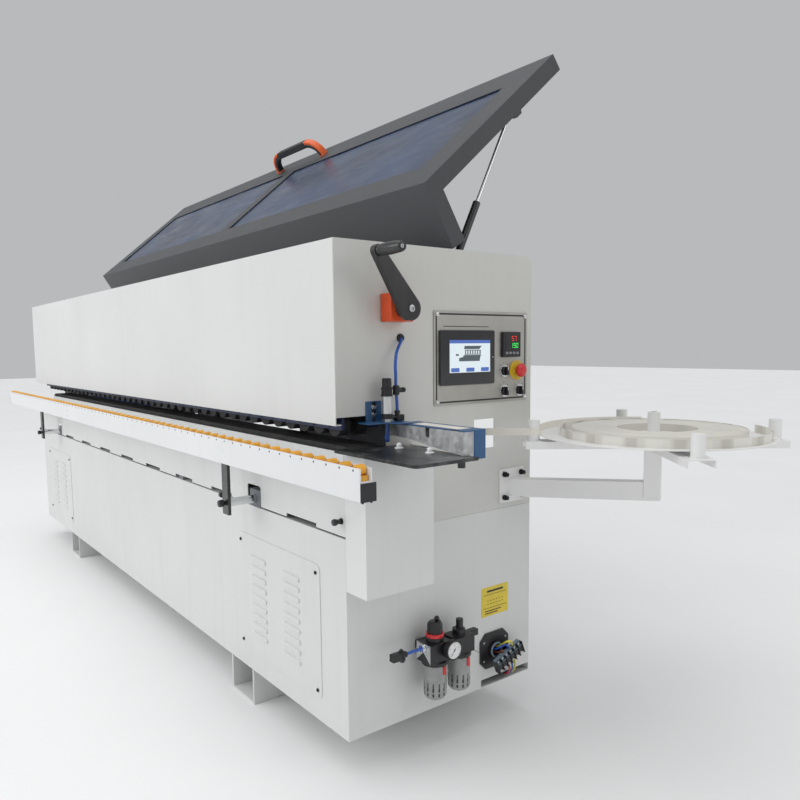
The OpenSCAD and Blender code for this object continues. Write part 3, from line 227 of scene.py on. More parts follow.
def plastic(name, colour, rough=0.45, grain=1400.0, depth=0.15, mottle=0.06, sheen=0.5, coat=0.0):
    """Moulded plastic with a spark-eroded grain and finger wear."""
    made, tree, skin = shader(name)
    space = object_space(tree)
    wear = clouds(tree, space, 22.0, 5.0, 0.6)
    tone = ramp(tree, wear, [(0.3, shade(colour, 1 - mottle)), (0.72, shade(colour, 1 + 2 * mottle))])
    tree.links.new(tone, skin.inputs["Base Color"])
    tree.links.new(spread(tree, wear, rough - 0.09, rough + 0.1), skin.inputs["Roughness"])
    skin.inputs["Specular IOR Level"].default_value = sheen
    skin.inputs["Coat Weight"].default_value = coat
    skin.inputs["Coat Roughness"].default_value = 0.12
    relief(tree, skin, clouds(tree, space, grain, 2.0), depth, 0.0003)
    return made


def rubber(name, colour, dusty=0.35, grain=420.0):
    """Matt rubber with pale sawdust lying in its grain."""
    made, tree, skin = shader(name)
    space = object_space(tree)
    lay = clouds(tree, space, 9.0, 6.0, 0.7)
    fine = clouds(tree, space, grain, 3.0)
    tone = ramp(tree, fine, [(0.35, shade(colour, 0.75)), (0.7, shade(colour, 1.5))])
    dust = spread(tree, lay, 0.0, dusty, 0.45, 0.85)
    tone = blended(tree, "MIX", dust, tone, (0.13, 0.12, 0.10, 1))
    tree.links.new(tone, skin.inputs["Base Color"])
    tree.links.new(spread(tree, lay, 0.62, 0.82), skin.inputs["Roughness"])
    relief(tree, skin, fine, 0.4, 0.0006)
    return made


def metal(name, colour, rough=0.28, along=(3.0, 260.0, 260.0), depth=0.12, mottle=0.10):
    """Drawn or turned metal; the fine lines run along the axis with the small scale."""
    made, tree, skin = shader(name)
    space = object_space(tree)
    lines = clouds(tree, object_space(tree, along), 1.0, 4.0, 0.6)
    tarnish = clouds(tree, space, 7.0, 5.0, 0.6)
    tone = ramp(tree, tarnish, [(0.3, shade(colour, 1 - mottle)), (0.7, shade(colour, 1 + mottle))])
    tone = blended(tree, "MULTIPLY", 0.5, tone,
                   ramp(tree, lines, [(0.2, (0.72, 0.72, 0.72, 1)), (0.8, (1, 1, 1, 1))]))
    tree.links.new(tone, skin.inputs["Base Color"])
    skin.inputs["Metallic"].default_value = 1.0
    tree.links.new(spread(tree, lines, rough - 0.08, rough + 0.12), skin.inputs["Roughness"])
    relief(tree, skin, lines, depth, 0.0003)
    return made


def galvanised(name):
    """Hot-dip zinc: large spangle, dull grey bloom."""
    made, tree, skin = shader(name)
    space = object_space(tree)
    spangle = cells(tree, space, 90.0)
    tone = ramp(tree, spangle.outputs["Color"],
                [(0.2, (0.42, 0.43, 0.44, 1)), (0.8, (0.66, 0.67, 0.68, 1))])
    bloom = spread(tree, clouds(tree, space, 24.0, 6.0, 0.7), 0.0, 0.7, 0.42, 0.72)
    tone = blended(tree, "MIX", bloom, tone, (0.40, 0.41, 0.42, 1))
    tree.links.new(tone, skin.inputs["Base Color"])
    skin.inputs["Metallic"].default_value = 0.8
    tree.links.new(spread(tree, spangle.outputs["Color"], 0.34, 0.58, 0.1, 0.9), skin.inputs["Roughness"])
    relief(tree, skin, clouds(tree, space, 60.0, 5.0, 0.6), 0.25, 0.0006)
    return made


def film(name, colour, alpha):
    """Tinted protective film on a window: wrinkled, glossy, see-through in part, with a painted highlight
    on the crease ridges.
    """
    made, tree, skin = shader(name)
    creases = clouds(tree, object_space(tree, (5, 14, 14), (0.3, 0, 0)), 1.0, 7.0, 0.62)
    lay = clouds(tree, object_space(tree), 3.2, 4.0)
    tone = ramp(tree, lay, [(0.3, shade(colour, 0.6)), (0.7, shade(colour, 1.4))])
    # Lighter blue on the crease ridges: a painted highlight where the wrinkles catch the light.
    fold_highlight = spread(tree, creases, 0.0, 0.22, 0.64, 0.78)
    tone = blended(tree, "MIX", fold_highlight, tone, (0.20, 0.32, 0.52, 1))
    tree.links.new(tone, skin.inputs["Base Color"])
    skin.inputs["Alpha"].default_value = alpha
    tree.links.new(spread(tree, creases, 0.22, 0.42), skin.inputs["Roughness"])
    skin.inputs["Coat Weight"].default_value = 0.12
    skin.inputs["Coat Roughness"].default_value = 0.15
    relief(tree, skin, creases, 0.35, 0.004)
    return made


def clear(name, colour, alpha, rough=0.12):
    """Clear or smoky polycarbonate."""
    made, tree, skin = shader(name)
    haze = clouds(tree, object_space(tree), 60.0, 4.0)
    tree.links.new(ramp(tree, haze, [(0.3, shade(colour, 0.9)), (0.7, shade(colour, 1.1))]),
                   skin.inputs["Base Color"])
    tree.links.new(spread(tree, haze, rough, rough + 0.15), skin.inputs["Roughness"])
    skin.inputs["Alpha"].default_value = alpha
    skin.inputs["Coat Weight"].default_value = 0.6
    relief(tree, skin, haze, 0.05, 0.0004)
    return made


def glowing(name, colour, strength, pattern=700.0):
    """A lit panel or lamp segment, with a faint cell pattern over it."""
    made, tree, skin = shader(name)
    dots = clouds(tree, object_space(tree), pattern, 1.0)
    tone = ramp(tree, dots, [(0.3, shade(colour, 0.92)), (0.7, shade(colour, 1.0))])
    tree.links.new(tone, skin.inputs["Base Color"])
    tree.links.new(tone, skin.inputs["Emission Color"])
    tree.links.new(spread(tree, dots, 0.16, 0.24), skin.inputs["Roughness"])
    skin.inputs["Emission Strength"].default_value = strength
    return made


def wound_tape(name, centre):
    """Edge of a wound coil: fine rings round its axis."""
    made, tree, skin = shader(name)
    place = object_space(tree, (1, 1, 0), (-centre[0], -centre[1], 0))
    length = tree.nodes.new("ShaderNodeVectorMath")
    length.operation = "LENGTH"
    tree.links.new(place, length.inputs[0])
    wave = tree.nodes.new("ShaderNodeMath")
    wave.operation = "PINGPONG"
    wave.inputs[1].default_value = 0.0018
    tree.links.new(length.outputs["Value"], wave.inputs[0])
    turns = spread(tree, wave.outputs[0], 0.0, 1.0, 0.0, 0.0018)
    tone = ramp(tree, turns, [(0.1, (0.60, 0.58, 0.52, 1)), (0.6, (0.82, 0.80, 0.74, 1))])
    drift = clouds(tree, object_space(tree), 9.0, 4.0)
    tone = blended(tree, "MULTIPLY", 0.4, tone,
                   ramp(tree, drift, [(0.3, (0.86, 0.86, 0.86, 1)), (0.7, (1, 1, 1, 1))]))
    tree.links.new(tone, skin.inputs["Base Color"])
    tree.links.new(spread(tree, drift, 0.45, 0.6), skin.inputs["Roughness"])
    relief(tree, skin, turns, 0.5, 0.0008)
    return made


WHITE = paint("hood_white", (0.73, 0.74, 0.73), 0.40)
LIGHT = paint("cabinet_grey_white", (0.68, 0.69, 0.68), 0.42, grime=0.10)
# The end panels have the same white paint as the hood; this darker, greyer copy paints in the shade that
# falls on the end faces.
END_PANEL_SHADED_WHITE = paint("end_panel_white_painted_shade", (0.62, 0.62, 0.59), 0.44, grime=0.08)
TRAY = paint("tray_white", (0.82, 0.82, 0.81), 0.36, grime=0.05)
RAIL = paint("rail_white", (0.78, 0.79, 0.80), 0.34, peel_depth=0.05)
CHARCOAL = hammered("lid_charcoal", (0.048, 0.052, 0.058))
BLUE = paint("infeed_blue", (0.012, 0.085, 0.22), 0.38, coat=0.2, grime=0.16)
NAVY = paint("beam_navy", (0.012, 0.025, 0.085), 0.42, grime=0.10)
TABLE = paint("table_black", (0.018, 0.020, 0.024), 0.3, mottle=0.3, grime=0.3)
FRAME = paint("frame_grey", (0.16, 0.17, 0.19), 0.5, grime=0.3)
MOTOR = paint("motor_blue", (0.02, 0.07, 0.24), 0.42, grime=0.25)
UNIT = paint("unit_grey", (0.23, 0.24, 0.26), 0.42, grime=0.3)
ORANGE = plastic("indicator_orange", (0.72, 0.085, 0.018), 0.38)
HANDLE_ORANGE = plastic("cover_orange", (0.85, 0.13, 0.02), 0.33)
BLACK = plastic("moulded_black", (0.014, 0.014, 0.016), 0.36, mottle=0.12)
CRANK = paint("crank_black", (0.011, 0.011, 0.012), 0.3, peel_depth=0.2, mottle=0.2, coat=0.3)
SOFT_BLACK = rubber("pad_rubber", (0.016, 0.016, 0.017))
WHEEL = rubber("wheel_rubber", (0.020, 0.020, 0.022), dusty=0.2)
YELLOW = plastic("roller_yellow", (0.78, 0.38, 0.035), 0.42, mottle=0.10)
STEEL = metal("drawn_steel", (0.55, 0.56, 0.57), 0.30)
TURNED = metal("turned_steel", (0.60, 0.61, 0.62), 0.24, along=(200.0, 200.0, 4.0))
CHROME = metal("hard_chrome", (0.78, 0.79, 0.80), 0.14, along=(40.0, 40.0, 3.0), depth=0.03)
ALU = metal("anodised_barrel", (0.66, 0.67, 0.68), 0.30, along=(160.0, 160.0, 3.0))
ZINC = galvanised("galvanised_fence")
BRUSHED = metal("brushed_plate", (0.50, 0.49, 0.46), 0.44, along=(300.0, 4.0, 300.0), depth=0.10)
BLACK_STEEL = metal("black_oxide", (0.035, 0.035, 0.038), 0.38)
FILM = film("window_film", (0.016, 0.040, 0.105), 0.9)
BOWL = clear("bowl_guard", (0.30, 0.31, 0.30), 0.97, 0.28)
GLASS = clear("gauge_glass", (0.9, 0.9, 0.9), 0.16)
RED = plastic("signal_red", (0.62, 0.012, 0.015), 0.25, coat=0.4)
STOP_YELLOW = plastic("stop_yellow", (0.72, 0.50, 0.03), 0.4)
STICKER = plastic("sticker_yellow", (0.72, 0.56, 0.05), 0.42)
# Black for print, also used as painted shade in the slot openings of the bowl guards, the infeed bracket
# and the rear door louvres.
PRINT_AND_SLOT_SHADE = plastic("print_and_slot_shade_black", (0.02, 0.02, 0.02), 0.5)
TAPE = plastic("tape_cream", (0.80, 0.77, 0.70), 0.42, mottle=0.04)
COIL = wound_tape("coil_edge", middle("tape_coil"))
HOSE_BLUE = plastic("hose_blue", (0.012, 0.09, 0.42), 0.22, mottle=0.08, coat=0.3)
BUFF = rubber("buff_cloth", (0.62, 0.60, 0.54), dusty=0.3, grain=260.0)
BEADS = plastic("ball_white", (0.85, 0.86, 0.86), 0.2)
SCREEN = glowing("screen_pale", (0.62, 0.70, 0.74), 0.55)
SCREEN_BLUE = glowing("screen_blue", (0.07, 0.13, 0.42), 0.5)
SCREEN_INK = glowing("screen_dark", (0.10, 0.13, 0.15), 0.15)
DIGIT_RED = glowing("digit_red", (0.80, 0.02, 0.01), 0.9)
DIGIT_GREEN = glowing("digit_green", (0.05, 0.75, 0.12), 0.9)
GLOSS = plastic("screen_glass", (0.008, 0.008, 0.010), 0.12, depth=0.02, coat=0.6)
DIAL = plastic("dial_white", (0.86, 0.87, 0.87), 0.35)
NIPPLE = plastic("nipple_grey_blue", (0.18, 0.24, 0.30), 0.4)


# ---- mesh helpers ----
def finish_piece(name, bm, materials, body, slot, smooth_below=42):
    """Turns a bmesh into a piece of the object that rides on a body."""
    limit = radians(smooth_below)
    for face in bm.faces:
        face.smooth = True
    for edge in bm.edges:
        edge.smooth = len(edge.link_faces) == 2 and edge.calc_face_angle(0) < limit
    mesh = bpy.data.meshes.new(name)
    bm.to_mesh(mesh)
    bm.free()
    for material in materials if isinstance(materials, (list, tuple)) else [materials]:
        mesh.materials.append(material)
    made = bpy.data.objects.new(name, mesh)
    bpy.context.scene.collection.objects.link(made)
    weigh = made.modifiers.new("even_normals", "WEIGHTED_NORMAL")
    weigh.keep_sharp = True
    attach(made, body)
    return made


def refine(node, materials, bevel=0.8, segments=2, pick=None, sharp=38):
    """Stands a copy of a CAD node in its place, with eased edges and one or more finishes."""
    bm = bmesh.new()
    bm.from_mesh(NODES[node].data)
    bmesh.ops.remove_doubles(bm, verts=bm.verts, dist=2e-6)
    bmesh.ops.dissolve_limit(bm, angle_limit=radians(0.4), verts=bm.verts, edges=bm.edges)
    if bevel > 0:
        hard = [e for e in bm.edges if len(e.link_faces) == 2 and e.calc_face_angle(0) > radians(sharp)]
        bmesh.ops.bevel(bm, geom=hard, offset=bevel * MM, segments=segments, profile=0.5,
                        affect="EDGES", clamp_overlap=False, material=-1)
    if pick is not None:
        for face in bm.faces:
            face.material_index = pick(face.calc_center_median())
    made = finish_piece(node + "_finished", bm, materials, body_for(node), SLOTS[node])
    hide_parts(node)
    return made


def coat_node(node, material):
    """Gives a CAD node its finish and leaves its shape."""
    NODES[node].data.materials.clear()
    NODES[node].data.materials.append(material)


def merged(bm, geometry, place, bevel=0.0, segments=2, index=0):
    """Moves freshly made geometry of bm into place and eases its edges."""
    verts = [g for g in geometry if isinstance(g, bmesh.types.BMVert)]
    bmesh.ops.transform(bm, matrix=place, verts=verts)
    faces = {f for v in verts for f in v.link_faces}
    for face in faces:
        face.material_index = index
    if bevel > 0:
        edges = {e for f in faces for e in f.edges if e.calc_face_angle(0) > radians(38)}
        bmesh.ops.bevel(bm, geom=list(edges), offset=bevel * MM, segments=segments, profile=0.5,
                        affect="EDGES", clamp_overlap=True, material=-1)


def block(bm, a, b, bevel=0.0, segments=2, index=0, turn=None):
    """A block between two corners in millimetres, edges eased, perhaps turned about its centre."""
    a, b = Vector(a) * MM, Vector(b) * MM
    made = bmesh.ops.create_cube(bm, size=1.0)
    size = Matrix.Diagonal((*(b - a), 1))
    place = Matrix.Translation((a + b) / 2) @ (turn or Matrix.Identity(4)) @ size
    merged(bm, made["verts"], place, bevel, segments, index)


def turned_shape(outline, place, steps=32, index=0):
    """The turned shape as its own bmesh, in place, poles closed and normals outward."""
    bm = bmesh.new()
    verts = [bm.verts.new((r * MM, 0, h * MM)) for r, h in outline]
    edges = [bm.edges.new(pair) for pair in zip(verts, verts[1:])]
    bmesh.ops.spin(bm, geom=verts + edges, cent=(0, 0, 0), axis=(0, 0, 1), dvec=(0, 0, 0),
                   angle=2 * pi, steps=steps, use_merge=True, use_duplicate=False)
    bmesh.ops.remove_doubles(bm, verts=bm.verts, dist=1e-6)
    bmesh.ops.recalc_face_normals(bm, faces=bm.faces)
    bmesh.ops.transform(bm, matrix=place, verts=bm.verts)
    for face in bm.faces:
        face.material_index = index
    return bm


def add(bm, other):
    """Puts another bmesh into bm."""
    mesh = bpy.data.meshes.new("part")
    other.to_mesh(mesh)
    other.free()
    bm.from_mesh(mesh)
    bpy.data.meshes.remove(mesh)


def turn_into(bm, outline, place, steps=32, index=0):
    """Turns an outline of radius and height about its axis and adds it."""
    add(bm, turned_shape(outline, place, steps, index))


def prism(bm, outline, depth, place, bevel=0.0, index=0, segments=2):
    """An outline in (u, v) millimetres, pushed out by depth along the placed Z."""
    part = bmesh.new()
    verts = [part.verts.new((u * MM, v * MM, 0)) for u, v in outline]
    base = part.faces.new(verts)
    made = bmesh.ops.extrude_face_region(part, geom=[base])
    moved = [g for g in made["geom"] if isinstance(g, bmesh.types.BMVert)]
    bmesh.ops.translate(part, verts=moved, vec=(0, 0, depth * MM))
    bmesh.ops.recalc_face_normals(part, faces=part.faces)
    if bevel > 0:
        hard = [e for e in part.edges if e.calc_face_angle(0) > radians(50)]
        bmesh.ops.bevel(part, geom=hard, offset=bevel * MM, segments=segments, profile=0.5,
                        affect="EDGES", clamp_overlap=True, material=-1)
    for face in part.faces:
        face.material_index = index
    bmesh.ops.transform(part, matrix=place, verts=part.verts)
    add(bm, part)


def place_by(origin, right, up):
    """Matrix that carries local X to right and local Y to up, with its origin in millimetres."""
    right, up = Vector(right).normalized(), Vector(up).normalized()
    out = right.cross(up)
    turn = Matrix((right, up, out)).transposed().to_4x4()
    return Matrix.Translation(Vector(origin) * MM) @ turn


def on_end(x, y, z):
    """Local frame on the infeed end face: X to the rear, Y up, Z out of the face."""
    return place_by((x, y, z), (0, 1, 0), (0, 0, 1))


def on_front(x, y, z):
    """Local frame on the front: X to the infeed end, Y up, Z out of the face."""
    return place_by((x, y, z), (1, 0, 0), (0, 0, 1))


def upright(x, y, z):
    return Matrix.Translation(Vector((x, y, z)) * MM)


def on_lid(x, t, d=0.0):
    """Local frame on the lid: X along it, Y up its long leg, Z out of its outer face."""
    up = Vector((0, cos(LID_ANGLE), sin(LID_ANGLE)))
    out = Vector((0, -sin(LID_ANGLE), cos(LID_ANGLE)))
    spot = LID_BEND / MM + up * t - out * d
    return place_by((x, spot.y, spot.z), (1, 0, 0), up)


def arc(cx, cy, rx, ry, start, end, steps):
    """Points along an elliptic arc, angles in degrees."""
    return [(cx + rx * cos(radians(start + (end - start) * i / steps)),
             cy + ry * sin(radians(start + (end - start) * i / steps))) for i in range(steps + 1)]


def rounded_outline(x0, y0, x1, y1, r, steps=6):
    """Rectangle with rounded corners."""
    corners = ((x1 - r, y0 + r, -90), (x1 - r, y1 - r, 0), (x0 + r, y1 - r, 90), (x0 + r, y0 + r, 180))
    return [p for cx, cy, a in corners for p in arc(cx, cy, r, r, a, a + 90, steps)]


def smooth_route(points, parts=6):
    """A smooth route through given points (uniform Catmull-Rom), as many short straight steps."""
    pts = [Vector(p) for p in points]
    pts = [pts[0] * 2 - pts[1]] + pts + [pts[-1] * 2 - pts[-2]]
    route = []
    for a, b, c, d in zip(pts, pts[1:], pts[2:], pts[3:]):
        for i in range(parts):
            t = i / parts
            route.append(0.5 * (2 * b + (c - a) * t + (2 * a - 5 * b + 4 * c - d) * t ** 2
                                + (3 * b - 3 * c + d - a) * t ** 3))
    return route + [pts[-2]]


def cord(name, points, diameter, material, body, slot):
    """A cord along points in millimetres."""
    route = [p * MM for p in smooth_route(points)]
    data = bpy.data.curves.new(name, "CURVE")
    data.dimensions = "3D"
    line = data.splines.new("POLY")
    line.points.add(len(route) - 1)
    for point, co in zip(line.points, route):
        point.co = (*co, 1)
    data.bevel_depth = diameter * MM / 2
    data.bevel_resolution = 4
    data.use_fill_caps = True
    data.materials.append(material)
    made = bpy.data.objects.new(name, data)
    bpy.context.scene.collection.objects.link(made)
    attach(made, body)
    length = sum((b - a).length for a, b in zip(route, route[1:]))
    tuple(route[0])
    return made


# ---- carried-over nodes with eased edges and real finishes ----
def body_panels():
    """Sheet metal of the cabinet, end panels and hood."""
    refine("cabinet", LIGHT, 1.2)
    refine("floor_channels", LIGHT, 1.2)
    refine("front_panel", LIGHT, 0.8)
    refine("vent_covers", LIGHT, 0.5, 1)
    # The end panels take the darker copy of the white paint, which is painted shade.
    refine("end_panel_infeed", END_PANEL_SHADED_WHITE, 1.0)
    refine("end_panel_outfeed", END_PANEL_SHADED_WHITE, 1.0)
    refine("beam_hood", WHITE, 1.0)
    refine("conveyor_end_housing", WHITE, 1.2)
    refine("conveyor_beam", WHITE, 0.8)
    refine("machine_frame", FRAME, 1.5)
    refine("fasteners", BLACK_STEEL, 0.5, 1)


def driven_parts():
    """Conveyor, pressure beam and the units on the deck."""
    refine("pressure_beam", NAVY, 0.8, 1)
    coat_node("conveyor_pads", SOFT_BLACK)
    coat_node("pressure_wheels", WHEEL)
    coat_node("sprocket_infeed", STEEL)
    coat_node("sprocket_outfeed", STEEL)
    refine("drive_motor", MOTOR, 1.5)
    refine("glue_unit", UNIT, 1.5)
    coat_node("glue_roller", TURNED)
    coat_node("press_roller", WHEEL)
    refine("end_trim_carriage", STEEL, 1.5)
    refine("trim_buff_units", UNIT, 1.5)
    coat_node("buffing_wheel", BUFF)


ROLLER_PITCH, ROLLER_R, FIRST_ROLLER = 53.0, 12.0, 24.0


def roller_places(node):
    """Where the rail's rollers stand along X, from the rollers' own ends."""
    start = low(node).x / MM + FIRST_ROLLER
    count = int((high(node).x / MM - start - ROLLER_R) // ROLLER_PITCH) + 1
    return [start + i * ROLLER_PITCH for i in range(count)]


def rail():
    """Roller rail with its axle pins and end caps."""
    refine("support_rail", RAIL, 0.8)
    coat_node("rail_rollers", YELLOW)
    box_low, box_high = low("support_rail") / MM, high("support_rail") / MM
    axle_z = high("rail_rollers").z / MM - ROLLER_R
    pins = bmesh.new()
    for x in roller_places("rail_rollers"):
        if x < box_high.x - 12:
            head = [(0, -1), (2.6, -1), (2.6, 0.1), (2.0, 0.35), (1.2, 0.35), (0.9, 0.05), (0, 0.05)]
            turn_into(pins, head, on_front(x, box_low.y, axle_z), 12)
    finish_piece("roller_pins", pins, BLACK_STEEL, "rail", SLOTS["rail_rods"])
    caps = bmesh.new()
    for x, out in ((box_high.x, 1), (box_low.x, -1)):
        tube_top = box_low.z + 40
        block(caps, (min(x - 1.5 * out, x + 0.4 * out), box_low.y - 0.4, box_low.z - 0.4),
              (max(x - 1.5 * out, x + 0.4 * out), box_high.y + 0.4, tube_top + 0.4), 0.6)
        for y in (box_low.y + 9, box_high.y - 9):
            turn_into(caps, [(0, -4), (2.4, -4), (2.6, 0), (0, 0)], upright(x - 6 * out, y, box_low.z), 12)
    finish_piece("rail_end_caps", caps, BLACK, "rail", SLOTS["rail_rods"])


def rail_rods():
    """Black hanger bars, chromed guide rods and clamp knobs."""
    low_z, top_z = low("rail_rods").z / MM, high("rail_rods").z / MM
    rear_y = high("rail_rods").y / MM
    rod_z = low_z + 35
    bar_y = high("support_rail").y / MM
    bars, rods, knobs = bmesh.new(), bmesh.new(), bmesh.new()
    for x in (low("rail_rods").x / MM + 20, high("rail_rods").x / MM - 20):
        block(bars, (x - 20, bar_y, low_z), (x + 20, bar_y + 10, top_z), 1.5)
        block(bars, (x - 34, bar_y + 1, top_z - 22), (x - 19, bar_y + 9, top_z - 10), 1.0)
        for z in (top_z - 12, top_z - 28):
            turn_into(bars, [(0, 0), (5, 0), (5, 4), (2.5, 4.5), (0, 4.5)],
                      on_front(x, bar_y, z - 4) @ flipped(), 6)
        shaft = [(0, 0), (10.5, 0), (12.5, 2), (12.5, rear_y - bar_y - 12), (11, rear_y - bar_y - 10),
                 (0, rear_y - bar_y - 10)]
        turn_into(rods, shaft, on_front(x, bar_y + 10, rod_z) @ flipped(), 40)
        grip = [(0, 0), (7, 0), (7, 5), (10, 6.5), (11, 9), (11, 17), (9.5, 21), (5, 22), (0, 22)]
        turn_into(knobs, grip, on_front(x, bar_y, rod_z), 24)
        turn_into(knobs, [(0, 0), (5, 0), (5, 8), (8, 9), (8, 20), (6, 22), (0, 22)],
                  place_by((x - 20, bar_y + 5, rod_z + 18), (0, 1, 0), (0, 0, -1)), 20)
    hanger = finish_piece("hanger_bars", bars, CRANK, "rail", SLOTS["rail_rods"])
    finish_piece("guide_rods", rods, CHROME, "rail", SLOTS["rail_rods"])
    finish_piece("rod_knobs", knobs, BLACK, "rail", SLOTS["rail_rods"])
    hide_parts("rail_rods")


def flipped():
    """Turns a placed outline to face the other way."""
    return Matrix.Rotation(pi, 4, "X")


# ---- lid ----
PANE_T = (108, 532)
PANE_X = ((-1130, 196), (274, 1536))


def lid():
    refine("lid_shell", CHARCOAL, 0.9)
    refine("lid_hinges", BLACK_STEEL, 0.6, 1)
    panes = bmesh.new()
    for number, (x0, x1) in enumerate(PANE_X):
        crumpled_pane(panes, x0 - 16, x1 + 16, PANE_T[0] - 16, PANE_T[1] + 16, number)
    made = finish_piece("film_panes", panes, FILM, "lid", SLOTS["lid_windows"], 70)
    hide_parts("lid_windows")
    beads = bmesh.new()
    for x0, x1 in PANE_X:
        outer = rounded_outline(x0 - 18, PANE_T[0] - 18, x1 + 18, PANE_T[1] + 18, 6, 3)
        for a, b in ((x0 - 18, x0 - 6), (x1 + 6, x1 + 18)):
            prism(beads, rounded_outline(a, outer[0][1] - 6, b, PANE_T[1] + 18, 2, 2), -3,
                  on_lid(0, 0, 7.5), 0.6)
        for a, b in ((PANE_T[0] - 18, PANE_T[0] - 6), (PANE_T[1] + 6, PANE_T[1] + 18)):
            prism(beads, rounded_outline(x0 - 6, a, x1 + 6, b, 2, 2), -3, on_lid(0, 0, 7.5), 0.6)
    finish_piece("pane_retainers", beads, CHARCOAL, "lid", SLOTS["lid_shell"])


FILM_THICK = 0.8
FILM_CELLS = (150, 50)
FOLD_HIGH, WRINKLE_HIGH = 1.0, 0.35


def crumpled_pane(bm, x0, x1, t0, t1, number):
    """Thin film over its pane, laid in shallow folds; it stays in the pane's own thickness."""
    part = bmesh.new()
    bmesh.ops.create_grid(part, x_segments=FILM_CELLS[0], y_segments=FILM_CELLS[1], size=0.5)
    wide, tall = (x1 - x0) * MM, (t1 - t0) * MM
    for v in part.verts:
        v.co = Vector((v.co.x * wide, v.co.y * tall, 0))
        where = Vector((v.co.x * 3.2, v.co.y * 7.5, 4.0 * number))
        fold = 1 - abs(noise.noise(where)) * 2
        small = noise.noise(where * 3.7)
        v.co.z = (FOLD_HIGH * fold + WRINKLE_HIGH * small) * MM
    bmesh.ops.solidify(part, geom=part.faces[:], thickness=FILM_THICK * MM)
    bmesh.ops.recalc_face_normals(part, faces=part.faces)
    bmesh.ops.transform(part, matrix=on_lid((x0 + x1) / 2, (t0 + t1) / 2, 5.2), verts=part.verts)
    add(bm, part)


def handle():
    """Bow handle: straight ribbed grip, quarter-round ends with orange covers on their outer half."""
    centre = (low("lid_handle").x + high("lid_handle").x) / 2 / MM
    depth = 28
    upended = Matrix.Rotation(pi / 2, 4, "X")
    place = on_lid(centre, 580, 0) @ upended @ Matrix.Translation((0, 0, -depth * MM))
    grip, covers = bmesh.new(), bmesh.new()
    for side in (1, -1):
        def bow(out, start, end, steps):
            return [(side * x, y) for x, y in arc(110, 0, 62 + out, 54 + out, start, end, steps)]
        prism(grip, bow(0, 0, 90, 14) + bow(15, 90, 0, 14), depth - 2, place @ upright(0, 0, 1), 3.0,
              segments=3)
        prism(covers, bow(14.5, 0, 86, 14) + bow(28, 86, 0, 14), depth, place, 4.5, segments=4)
        for a in (18, 38, 58):
            spot = bow(28, a, a + 1, 1)[0]
            foot = Matrix.Translation((spot[0] * MM, spot[1] * MM, depth / 2 * MM))
            outward = Matrix.Rotation(radians(a if side > 0 else 180 - a), 4, "Z")
            lean = outward @ Matrix.Rotation(pi / 2, 4, "Y")
            turn_into(covers, [(0, -1), (3.4, -1), (3.4, 0.3), (2.4, 0.6), (0, 0.6)], place @ foot @ lean,
                      12)
        prism(covers, rounded_outline(side * 186 - 16, 0, side * 186 + 16, 4, 1.8, 3), depth, place, 1.0)
    prism(grip, rounded_outline(-114, 54, 114, 82, 6, 5), depth, place, 4.0, segments=3)
    for i in range(17):
        x = -96 + 12 * i
        prism(grip, rounded_outline(x - 2.2, 53.4, x + 2.2, 82.5, 1.6, 3), depth - 6,
              place @ upright(0, 0, 3), 0.5, segments=1)
    made = finish_piece("handle_grip", grip, BLACK, "lid", SLOTS["lid_handle"])
    finish_piece("handle_covers", covers, HANDLE_ORANGE, "lid", SLOTS["lid_handle"])
    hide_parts("lid_handle")


def struts():
    """Gas struts of the lid."""
    for side in ("infeed", "outfeed"):
        coat_node("strut_tube_" + side, CRANK)
        coat_node("strut_rod_" + side, CHROME)


# ---- height crank and counter ----
def crank():
    """Crank arm and its spinning grip."""
    refine("crank_arm", [CRANK, STEEL], 2.2, 3, pick=lambda c: int(c.x < END_X + 0.058))
    tip = middle("crank_grip") / MM
    start, end = low("crank_grip").x / MM, high("crank_grip").x / MM
    outline = [(6.2, 0), (11, 0), (13, 2), (13, 6), (12.4, 9), (14.6, 16), (15, 34), (14.8, 54), (14.2, 66),
               (13.2, 76), (13, 82), (11.5, 86.5), (8.5, end - start), (5.5, end - start), (5.5, 80),
               (6.2, 80)]
    grip = turned_shape(outline + [outline[0]], on_end(start, tip.y, tip.z), 40)
    made = finish_piece("spinning_grip", grip, CRANK, "grip", SLOTS["crank_grip"])
    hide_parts("crank_grip")
    pin = bmesh.new()
    socket = [(0, 0), (5.2, 0), (5.2, 6.5), (4.4, 7.4), (2.6, 7.4), (2.6, 4.0), (0, 4.0)]
    turn_into(pin, socket, on_end(end - 8, tip.y, tip.z), 20)
    hub_y, hub_z = middle("position_indicator").y / MM, 1217
    arm_face = start - 0.5
    turn_into(pin, [(0, -2), (9, -2), (9, 2.2), (7.6, 3.2), (4.2, 3.2), (4.2, 0.6), (0, 0.6)],
              on_end(arm_face, hub_y, hub_z), 24)
    finish_piece("crank_screws", pin, STEEL, "crank", SLOTS["strut_rod_infeed"])


